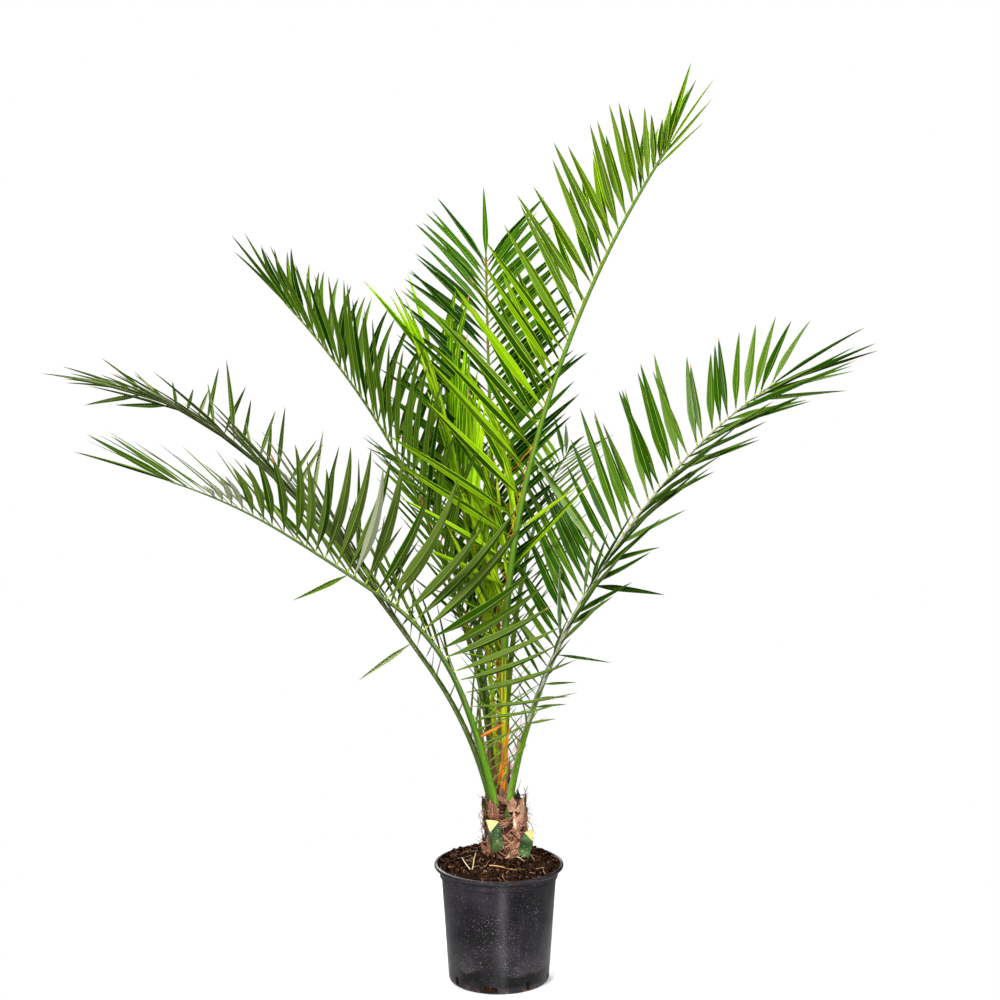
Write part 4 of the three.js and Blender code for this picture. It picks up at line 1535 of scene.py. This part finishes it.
    def build_fibres(self) -> Piece:
        """Loose wiry fibres over the stem and among the stalks."""
        rng = np.random.default_rng(self.seed)
        batch = MeshBatch()
        reach = np.linspace(0.0, 1.0, self.fibre_steps)
        for _ in range(self.fibres):
            turn, height = rng.uniform(0.0, math.tau), mix(*self.fibre_heights, rng.random())
            length, sense = rng.uniform(*self.fibre_lengths), rng.choice([-1.0, 1.0])
            wander = np.cumsum(rng.normal(0.0, 1.0, (len(reach), 3)), axis=0) * length * 0.035
            slant = rng.uniform(0.2, 1.0)
            turns = turn + sense * slant * length * reach / 46.0
            rise = rng.choice([-1.0, 1.0], p=[0.6, 0.4]) * (1.0 - slant) * length * reach
            heights = np.maximum(height + rise, STEM.bottom + 2.0)
            loose = rng.choice([6.0, 20.0], p=[0.75, 0.25])
            away = 1.0 + rng.uniform(0.0, loose) * reach ** 1.6 + 4.0 * np.sin(reach * math.pi) * rng.random()
            path = STEM.spot(turns, heights, away) + wander * reach[:, None]
            radii = rng.uniform(*self.fibre_radii) * rng.choice([1.0, 1.9], p=[0.75, 0.25])
            radii = radii * (1.0 - 0.6 * reach)
            tint = rng.choice(4, p=[0.52, 0.14, 0.32, 0.02])
            batch.add_tube(rings_along(path, radii, 4), int(tint))
        self.add_strands(batch, rng)
        for number in self.orange_threads:
            self.add_threads(batch, FRONDS[number], rng, (0.05, 0.55), 0.75)
        for number in self.russet_threads:
            self.add_threads(batch, FRONDS[number], rng, (0.0, 0.13), 0.1)
        return batch.build("stem_fibres", Fibre.materials(), 70.0)

    def add_strands(self, batch: MeshBatch, rng: np.random.Generator) -> None:
        """Adds the coarse strands that wrap the stem's front and sides between the stubs."""
        reach = np.linspace(0.0, 1.0, 12)
        for _ in range(self.strands):
            first = rng.uniform(*self.strand_turns)
            turns = np.radians(first + rng.uniform(*self.strand_sweep) * reach)
            middle = mix(*self.strand_heights, rng.random())
            slant = rng.uniform(-self.strand_slant, self.strand_slant)
            heights = middle + slant * reach + 3.0 * np.sin(reach * 6.0 + first)
            away = 0.5 + rng.uniform(0.0, 3.5) * np.sin(reach * math.pi)
            radii = rng.uniform(*self.strand_radii) * (1.0 - 0.4 * np.abs(2.0 * reach - 1.0))
            path = STEM.spot(turns, np.maximum(heights, STEM.bottom + 6.0), away)
            batch.add_tube(rings_along(path, radii, 5), int(rng.choice(3, p=[0.56, 0.16, 0.28])))

    @staticmethod
    def add_threads(batch: MeshBatch, frond: Frond, rng: np.random.Generator, stretch: Span,
                    orange: float) -> None:
        """Adds threads that curl off the inner side of a frond's stalk.

        Args:
            batch: The fibres so far.
            frond: The frond that carries them.
            rng: The seeded numbers.
            stretch: First and last share of the rib that carries threads.
            orange: Share of the threads that are orange; the others are russet.
        """
        frames = frond.frames()
        for _ in range(15):
            share = rng.uniform(*stretch)
            point, along, across, face = frond.frame_at(frames, share)
            half = frond.half_width(share)
            length = rng.uniform(30.0, 85.0)
            reach = np.linspace(0.0, 1.0, 10)
            start = point + across * half * rng.uniform(-0.9, 0.9) + face * half * 0.5
            sense = unit(along * rng.choice([-1.0, 1.0]) + across * rng.normal(0.0, 0.35) + face * 0.25)
            curl = np.cumsum(rng.normal(0.0, 1.0, (10, 3)), axis=0) * length * 0.045
            path = start + sense * (length * reach)[:, None] + curl * reach[:, None]
            radii = rng.uniform(0.5, 1.1) * (1.0 - 0.75 * reach)
            tint = Fibre.ORANGE if rng.random() < orange else Fibre.RUSSET
            batch.add_tube(rings_along(path, radii, 4), tint)

    def build_young_sheath(self) -> Piece:
        """The orange sheath between the front stalks and the dry strips beside it."""
        batch = MeshBatch()
        strips = (
            ((-2.0, -17.0), (13.0, -14.5), 3.8, 408.0, 500.0, Fibre.ORANGE),
            ((4.0, -18.0), (13.0, -16.0), 3.4, 400.0, 458.0, Fibre.ORANGE),
            ((15.0, -16.5), (20.0, -13.0), 2.6, 440.0, 530.0, Fibre.ORANGE),
            ((11.0, -18.5), (15.0, -15.0), 2.6, 392.0, 430.0, Fibre.ORANGE),
            ((13.0, -17.0), (21.0, -14.0), 2.4, 396.0, 470.0, Fibre.RUSSET),
            ((-9.0, -15.0), (-8.0, -12.0), 5.0, 376.0, 448.0, Fibre.RUSSET),
            ((-14.0, -12.0), (-9.0, -10.0), 4.0, 368.0, 476.0, Fibre.UMBER),
            ((18.0, -16.0), (22.0, -12.0), 3.6, 372.0, 456.0, Fibre.UMBER),
            ((-1.0, -12.0), (2.0, -10.0), 3.0, 368.0, 440.0, Fibre.UMBER),
            ((8.0, -18.0), (2.0, -14.0), 5.0, 366.0, 404.0, Fibre.TAN),
            ((16.0, -18.5), (10.0, -15.5), 4.0, 366.0, 412.0, Fibre.RUSSET),
            ((24.0, -4.0), (16.0, 2.0), 5.0, 366.0, 420.0, Fibre.RUSSET),
            ((-22.0, 12.0), (-24.0, 14.0), 6.0, 366.0, 420.0, Fibre.RUSSET),
            ((2.0, 32.0), (0.0, 36.0), 8.0, 366.0, 420.0, Fibre.TAN),
            ((20.0, 18.0), (16.0, 20.0), 8.0, 366.0, 416.0, Fibre.UMBER),
            ((-6.0, -18.0), (-10.0, -12.0), 6.0, 366.0, 410.0, Fibre.UMBER),
            ((-18.0, -9.0), (-36.0, -7.0), 4.0, 368.0, 486.0, Fibre.UMBER),
            ((-17.0, -11.0), (-31.0, -9.0), 2.2, 372.0, 460.0, Fibre.RUSSET),
            ((-38.0, -40.0), (11.0, -24.0), 3.6, 507.0, 533.0, Fibre.ORANGE),
        )
        rows, columns = 18, 9
        for number, (low, high, half, bottom, top, tint) in enumerate(strips):
            share = np.linspace(0.0, 1.0, rows)[:, None]
            across = np.linspace(-1.0, 1.0, columns)[None]
            torn = np.array([chance(5, number, k, 2) for k in range(columns)])[None]
            narrow = half * (1.0 - 0.55 * share ** 2)
            sideways = unit(np.array([top - bottom, low[0] - high[0]]))
            x = mix(low[0], high[0], share) + across * narrow * sideways[0]
            x = x + 1.2 * np.sin(share * 5.0 + number)
            y = mix(low[1], high[1], share) + 2.4 * across ** 2 + 0.35 * np.cos(across * 9.0)
            z = mix(bottom, top, share * (1.0 - 0.25 * torn * share)) + across * narrow * sideways[1]
            front = np.stack(np.broadcast_arrays(x, y, z), axis=-1)
            back = front + np.array([0.0, 0.6, 0.0])
            slots = np.full((rows - 1, columns - 1), tint)
            if tint is Fibre.ORANGE:
                slots[:, [0, -1]] = Fibre.RUSSET
            batch.add_sheet(back, front, slots, slots)
        return batch.build("stem_young_sheath", Fibre.materials(), 50.0)

    def build(self) -> None:
        """Makes the stem's pieces, which stand for its solid."""
        settle(self.build_core(), "stem", "stem")
        settle(self.build_stubs(), "stem")
        settle(self.build_flaps(), "stem")
        settle(self.build_young_sheath(), "stem")
        settle(self.build_fibres(), "stem")


# Soil


@dataclass(frozen=True)
class Soil:
    """Potting soil: a rough mound, loose crumbs, straw and rootlets, and a forked twig."""

    edge_height: float = 237.0
    top_height: float = 249.5
    heap: float = 13.0
    shoulder: float = 98.0
    radius: float = 124.6
    neck_radius: float = 113.6
    neck_height: float = 220.0
    bottom: float = 3.4
    base_radius: float = 98.4
    mound_sides: int = 150
    mound_rows: int = 40
    heap_reach: float = 28.0
    edge_calm: float = 0.35
    crumbs: int = 4200
    crumb_tints: tuple[Colour, ...] = (
        (0.003, 0.001, 0.0004), (0.018, 0.007, 0.003), (0.060, 0.028, 0.014), (0.15, 0.085, 0.048),
    )
    straws: int = 64
    straw_steps: int = 9
    straw_lengths: Span = (6.0, 34.0)
    straw_radii: Span = (0.3, 0.75)
    straw_tints: tuple[Colour, ...] = (
        (0.46, 0.29, 0.15), (0.30, 0.16, 0.075), (0.86, 0.74, 0.54), (0.66, 0.38, 0.15), (0.70, 0.52, 0.28),
    )
    twig_arms: tuple[tuple[Triple, float, int], ...] = (
        ((-19.0, 6.0, 28.0), 0.8, 2), ((8.0, 6.0, 37.0), 1.0, 4),
    )
    twig_foot: Triple = (-54.0, -77.0, 244.0)
    log_ends: tuple[Triple, ...] = ((-19.0, -65.0, 254.0), (26.0, -79.0, 252.0))
    seed: int = 23

    def height(self, distance: Array) -> Array:
        """The mound's height at distances from its middle."""
        return mix(self.top_height, self.edge_height, ease(self.shoulder, self.radius, distance))

    def surface(self, x: Array, y: Array) -> Array:
        """The rough mound's height at places."""
        flat = np.stack([x, y, np.zeros_like(x)], axis=-1).reshape(-1, 3)
        lumps = 2.4 * rumple(flat, 17.0, 1.0) + 1.6 * rumple(flat, 6.0, 4.0) + 0.8 * rumple(flat, 2.6, 9.0)
        calm = mix(1.0, self.edge_calm, ease(self.shoulder, self.radius, np.hypot(x, y)))
        near = np.hypot(x - STEM.foot_x, y)
        heap = self.heap * ease(STEM.flare_radius + self.heap_reach, STEM.flare_radius, near)
        return self.height(np.hypot(x, y)) + heap + lumps.reshape(x.shape) * calm

    def build_mound(self) -> Piece:
        """The soil's own mesh, down to the pot's floor."""
        turns = full_turn(self.mound_sides)
        middle = ((self.base_radius + self.neck_radius) / 2.0, self.neck_height / 2.0)
        low, neck = (self.base_radius, self.bottom), (self.neck_radius, self.neck_height)
        rings = [ring_at(distance, turns, height) for distance, height in (low, middle, neck)]
        for distance in np.linspace(self.radius, 2.0, self.mound_rows):
            x, y = distance * np.cos(turns), distance * np.sin(turns)
            rings.append(np.stack([x, y, self.surface(x, y)], axis=1))
        batch = MeshBatch()
        batch.add_tube(np.array(rings), 0)
        return batch.build("soil_mound", [EARTH.material()], 80.0)

    def build_crumbs(self) -> Piece:
        """Loose crumbs of peat and bark, in four browns."""
        rng = np.random.default_rng(self.seed)
        ball = bmesh.new()
        bmesh.ops.create_icosphere(ball, subdivisions=1, radius=1.0)
        shape = np.array([vertex.co for vertex in ball.verts])
        faces = np.array([[vertex.index for vertex in face.verts] for face in ball.faces])
        ball.free()
        batch = MeshBatch()
        distance = (self.radius - 1.5) * np.sqrt(rng.random(self.crumbs))
        turn = rng.uniform(0.0, math.tau, self.crumbs)
        x, y = distance * np.cos(turn), distance * np.sin(turn)
        z = self.surface(x, y)
        for k in range(self.crumbs):
            size = 0.7 + 3.0 * rng.random() ** 3
            squash = rng.uniform(0.55, 1.3, 3)
            lump = shape * rng.uniform(0.72, 1.2, (len(shape), 1)) * squash * size
            tint = rng.choice(4, p=[0.4, 0.34, 0.2, 0.06])
            batch.add(lump + np.array([x[k], y[k], z[k] + 0.25 * size]), [faces], [int(tint)])
        return batch.build("soil_crumbs", even_finishes("soil_crumb", self.crumb_tints, 0.95, 0.0), 30.0)

    def build_straws(self) -> Piece:
        """Pale bits of straw and rootlet on the soil, and the forked twig that stands in it."""
        rng = np.random.default_rng(self.seed + 1)
        batch = MeshBatch()
        reach = np.linspace(0.0, 1.0, self.straw_steps)
        for _ in range(self.straws):
            distance, turn = (self.radius - 14.0) * math.sqrt(rng.random()), rng.uniform(0.0, math.tau)
            heading, bend = rng.uniform(0.0, math.tau), rng.normal(0.0, 1.3)
            length = rng.uniform(*self.straw_lengths) * rng.choice([0.6, 1.0])
            way = heading + bend * reach
            x = distance * math.cos(turn) + np.cumsum(np.cos(way)) * length / self.straw_steps
            y = distance * math.sin(turn) + np.cumsum(np.sin(way)) * length / self.straw_steps
            inside = np.minimum(1.0, (self.radius - 3.0) / np.hypot(x, y))
            x, y = x * inside, y * inside
            z = self.surface(x, y) + 1.0 + rng.uniform(0.0, 3.5) * np.sin(reach * math.pi)
            radii = rng.uniform(*self.straw_radii) * (1.0 - 0.5 * np.abs(reach - 0.5))
            tint = int(rng.choice(3, p=[0.5, 0.42, 0.08]))
            batch.add_tube(rings_along(np.stack([x, y, z], axis=1), radii, 5), tint)
        foot = np.array(self.twig_foot)
        for lean, radius, tint in self.twig_arms:
            wobble = np.stack([np.sin(reach * 7.0), np.cos(reach * 5.0), 0.0 * reach], axis=1) * 0.5
            path = foot + np.array(lean) * reach[:, None] + wobble
            batch.add_tube(rings_along(path, radius * (1.0 - 0.3 * reach), 7), tint)
        log_start, log_end = np.array(self.log_ends[0]), np.array(self.log_ends[1])
        path = log_start + (log_end - log_start) * reach[:, None] + UP * np.sin(reach * 5.0)[:, None]
        batch.add_tube(rings_along(path, 1.2 * (1.0 - 0.4 * reach), 7), 3)
        return batch.build("soil_straw", even_finishes("soil_straw", self.straw_tints, 0.75, 0.1), 60.0)

    def build(self) -> None:
        """Makes the soil's pieces, which stand for its solid."""
        settle(self.build_mound(), "soil", "soil")
        settle(self.build_crumbs(), "soil")
        settle(self.build_straws(), "soil")


# Pot


@dataclass(frozen=True)
class Pot:
    """The moulded nursery pot: thin flared lip, collar band, straight taper and drain notches."""

    height: float = 240.0
    rim_radius: float = 130.0
    lip_height: float = 8.0
    collar_height: float = 19.0
    collar_step: float = 2.4
    shoulder_radius: float = 117.0
    base_radius: float = 101.0
    heel: float = 5.0
    wall: float = 2.4
    floor: float = 3.0
    neck: float = 222.0
    lip_width: float = 5.0
    sides: int = 160
    sharp: float = 38.0
    notches: int = 8
    notch_corner: float = 2.2
    notch_points: int = 16
    notch_depth: float = 7.0
    first_notch: float = 260.0
    wide_notch: Triple = (30.0, 13.0, 9.5)
    slot_notch: Triple = (9.0, 20.0, 12.0)

    def radius(self, height: float) -> float:
        """Outer radius of the tapering wall at a height."""
        return mix(self.base_radius, self.shoulder_radius, height / self.height)

    def profile(self) -> list[Span]:
        """Radius and height round the wall, from the middle of the underside to that of the floor."""
        lip_bottom = self.height - self.lip_height
        collar_bottom = lip_bottom - self.collar_height
        collar = self.radius(lip_bottom) + self.collar_step
        points = [(0.5, 0.6), (self.base_radius - 16.0, 0.6), (self.base_radius - 14.0, 0.0),
                  (self.base_radius - self.heel, 0.0)]
        for step in range(1, 6):
            turn = math.radians(90.0 * step / 6.0)
            rise = self.heel * (1.0 - math.cos(turn))
            points.append((self.base_radius - self.heel * (1.0 - math.sin(turn)), rise))
        heights = np.linspace(self.heel + 1.0, collar_bottom, 10)
        points += [(self.radius(height), height) for height in heights]
        points += [(self.radius(collar_bottom) + 0.6 * self.collar_step, collar_bottom + 0.7),
                   (collar, collar_bottom + 2.0), (collar, lip_bottom - 4.0),
                   (collar + 0.9, lip_bottom - 1.6)]
        half = self.lip_height / 2.0
        for step in range(0, 9):
            turn = math.radians(mix(-80.0, 120.0, step / 8.0))
            points.append((self.rim_radius - half + half * math.cos(turn),
                           self.height - half + half * math.sin(turn)))
        inner = self.radius(self.neck) - self.wall
        flare = self.rim_radius - self.lip_width
        for step in range(0, 6):
            share = step / 5.0
            height = mix(self.height - 1.6, self.neck, share)
            points.append((mix(flare, inner, ease(0.0, 1.0, share)), height))
        points += [(self.radius(self.floor) - self.wall, self.floor), (0.5, self.floor)]
        return points

    def build(self) -> None:
        """Makes the pot with its notches cut, which stands for its solid."""
        turns = full_turn(self.sides)
        rings = [ring_at(radius, turns, height) for radius, height in self.profile()]
        batch = MeshBatch()
        batch.add_tube(np.array(rings), 0)
        pot = batch.build("pot_shell", [PotPlastic().material()], self.sharp)
        cutters = MeshBatch()
        for number in range(self.notches):
            wide = number % 2 == 0
            self.add_cutter(cutters, self.wide_notch if wide else self.slot_notch,
                            math.radians(self.first_notch + 360.0 * number / self.notches))
        cutter = cutters.build("pot_notch_cutter", [])
        cut = pot.modifiers.new("notches", "BOOLEAN")
        cut.operation = "DIFFERENCE"
        cut.solver = "EXACT"
        cut.object = cutter
        bpy.context.view_layer.update()
        done = bpy.data.meshes.new_from_object(pot.evaluated_get(bpy.context.evaluated_depsgraph_get()))
        pot.modifiers.clear()
        pot.data = done
        done.set_sharp_from_angle(angle=math.radians(self.sharp))
        bpy.data.objects.remove(cutter)
        settle(pot, "pot", "pot")

    def add_cutter(self, batch: MeshBatch, notch: Triple, turn: float) -> None:
        """Adds a rounded block that cuts one notch.

        Args:
            batch: The cutters so far.
            notch: Width, height and middle height of the notch.
            turn: Where it is round the pot, in radians.
        """
        width, height, lift = notch
        corner = self.notch_corner
        outline = []
        for k in range(self.notch_points):
            about = math.tau * (k + 0.5) / self.notch_points
            side = math.copysign(width / 2.0 - corner, math.cos(about)) + corner * math.cos(about)
            up = math.copysign(height / 2.0 - corner, math.sin(about)) + corner * math.sin(about)
            outline.append((side, max(up, self.floor + 0.4 - lift)))
        rings = []
        for distance in (self.radius(lift) - self.notch_depth, self.radius(lift) + self.notch_depth):
            x = [distance * math.cos(turn) - side * math.sin(turn) for side, _ in outline]
            y = [distance * math.sin(turn) + side * math.cos(turn) for side, _ in outline]
            rings.append(np.stack([x, y, [lift + up for _, up in outline]], axis=1))
        batch.add_tube(np.array(rings), 0)


# Studio


@dataclass(frozen=True)
class Lamp:
    """One soft lamp: where it stands, what it looks at, its size and its power."""

    name: str
    place: Triple
    target: Triple
    width: float
    height: float
    power: float
    spread: float = 180.0


@dataclass(frozen=True)
class Studio:
    """Pale floor, soft lamps, a white room and the camera at the photograph's angle."""

    camera_place: Triple = (0.0022, -4.0, 1.5)
    camera_fall: float = 7.48
    focal_pixels: float = 2053.1
    picture_pixels: float = 1000.0
    sensor: float = 36.0
    floor_radius: float = 3.2
    floor_tone: float = 0.9
    room_light: float = 0.05
    lamps: tuple[Lamp, ...] = (
        Lamp("lamp_key", (-1.9, -3.2, 3.2), (0.0, 0.0, 0.9), 1.0, 1.0, 285.0),
        Lamp("lamp_front", (0.5, -3.8, 1.2), (0.0, 0.0, 1.0), 1.0, 1.0, 2.6, 30.0),
        Lamp("lamp_strip", (0.33, -2.6, 0.3), (0.0, 0.0, 0.15), 0.06, 0.4, 1.3, 26.0),
        Lamp("lamp_side", (2.9, -1.8, 2.4), (0.0, 0.0, 0.9), 1.2, 1.2, 95.0),
        Lamp("lamp_top", (0.3, 0.3, 4.4), (0.0, 0.0, 0.9), 2.4, 2.4, 90.0),
        Lamp("lamp_back", (-0.9, 3.6, 2.4), (0.0, 0.0, 0.9), 1.6, 1.6, 170.0),
    )

    def build(self) -> None:
        """Makes the floor, the lamps, the room and the camera."""
        self.build_floor()
        for lamp in self.lamps:
            data = bpy.data.lights.new(lamp.name, "AREA")
            data.shape = "RECTANGLE"
            data.size = lamp.width
            data.size_y = lamp.height
            data.energy = lamp.power
            data.spread = math.radians(lamp.spread)
            self.aimed(bpy.data.objects.new(lamp.name, data), lamp.place, lamp.target)
        self.build_room()
        camera = bpy.data.objects.new("camera", bpy.data.cameras.new("camera"))
        camera.data.sensor_width = self.sensor
        camera.data.lens = self.focal_pixels * self.sensor / self.picture_pixels
        camera.location = self.camera_place
        camera.rotation_euler = (math.radians(90.0 - self.camera_fall), 0.0, 0.0)
        bpy.context.scene.collection.objects.link(camera)
        bpy.context.scene.camera = camera
        bpy.context.scene.view_settings.view_transform = "Standard"

    @staticmethod
    def aimed(lamp: Piece, place: Triple, target: Triple) -> None:
        """Puts a lamp in the scene, looking at a point."""
        lamp.location = place
        lamp.rotation_euler = (Vector(target) - Vector(place)).to_track_quat("-Z", "Y").to_euler()
        bpy.context.scene.collection.objects.link(lamp)

    def build_floor(self) -> None:
        """A round pale floor that fades into the white room at its edge."""
        sides = 96
        turns = full_turn(sides)
        ring = ring_at(1.0, turns, 0.0) * self.floor_radius / MILLIMETRE
        batch = MeshBatch()
        at = np.arange(sides)
        points = np.vstack([ring, np.zeros((1, 3))])
        batch.add(points, [np.stack([np.full(sides, sides), at, np.roll(at, -1)], axis=1)], [0])
        sheet = NodeSheet("studio_floor")
        sheet.put("Base Color", (self.floor_tone, self.floor_tone, self.floor_tone))
        sheet.put("Roughness", 0.9)
        distance = sheet.add("ShaderNodeVectorMath", {0: sheet.places}, operation="LENGTH").outputs["Value"]
        fade = sheet.between(distance, 0.2, 0.9)
        clear = sheet.add("ShaderNodeBsdfTransparent", {}).outputs[0]
        both = sheet.add("ShaderNodeMixShader", {0: fade, 1: sheet.shader.outputs[0], 2: clear})
        sheet.tree.links.new(both.outputs[0], sheet.tree.nodes["Material Output"].inputs["Surface"])
        floor = batch.build("studio_floor", [sheet.material])

    def build_room(self) -> None:
        """White all round as a backdrop, and only a faint light on the palm."""
        world = bpy.data.worlds.new("studio_room")
        world.use_nodes = True
        bpy.context.scene.world = world
        tree = world.node_tree
        light = tree.nodes["Background"]
        light.inputs["Color"].default_value = (1.0, 1.0, 1.0, 1.0)
        light.inputs["Strength"].default_value = self.room_light
        backdrop = tree.nodes.new("ShaderNodeBackground")
        backdrop.inputs["Color"].default_value = (1.0, 1.0, 1.0, 1.0)
        both = tree.nodes.new("ShaderNodeMixShader")
        path = tree.nodes.new("ShaderNodeLightPath")
        tree.links.new(path.outputs["Is Camera Ray"], both.inputs[0])
        tree.links.new(light.outputs[0], both.inputs[1])
        tree.links.new(backdrop.outputs[0], both.inputs[2])
        tree.links.new(both.outputs[0], tree.nodes["World Output"].inputs["Surface"])


def main() -> None:
    """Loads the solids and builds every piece."""
    logging.basicConfig(level=logging.INFO, format="%(name)s: %(message)s")
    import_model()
    Studio().build()
    Pot().build()
    Soil().build()
    Stem().build()
    Spear().build()
    for frond in FRONDS:
        frond.build()


if __name__ == "__main__":
    main()
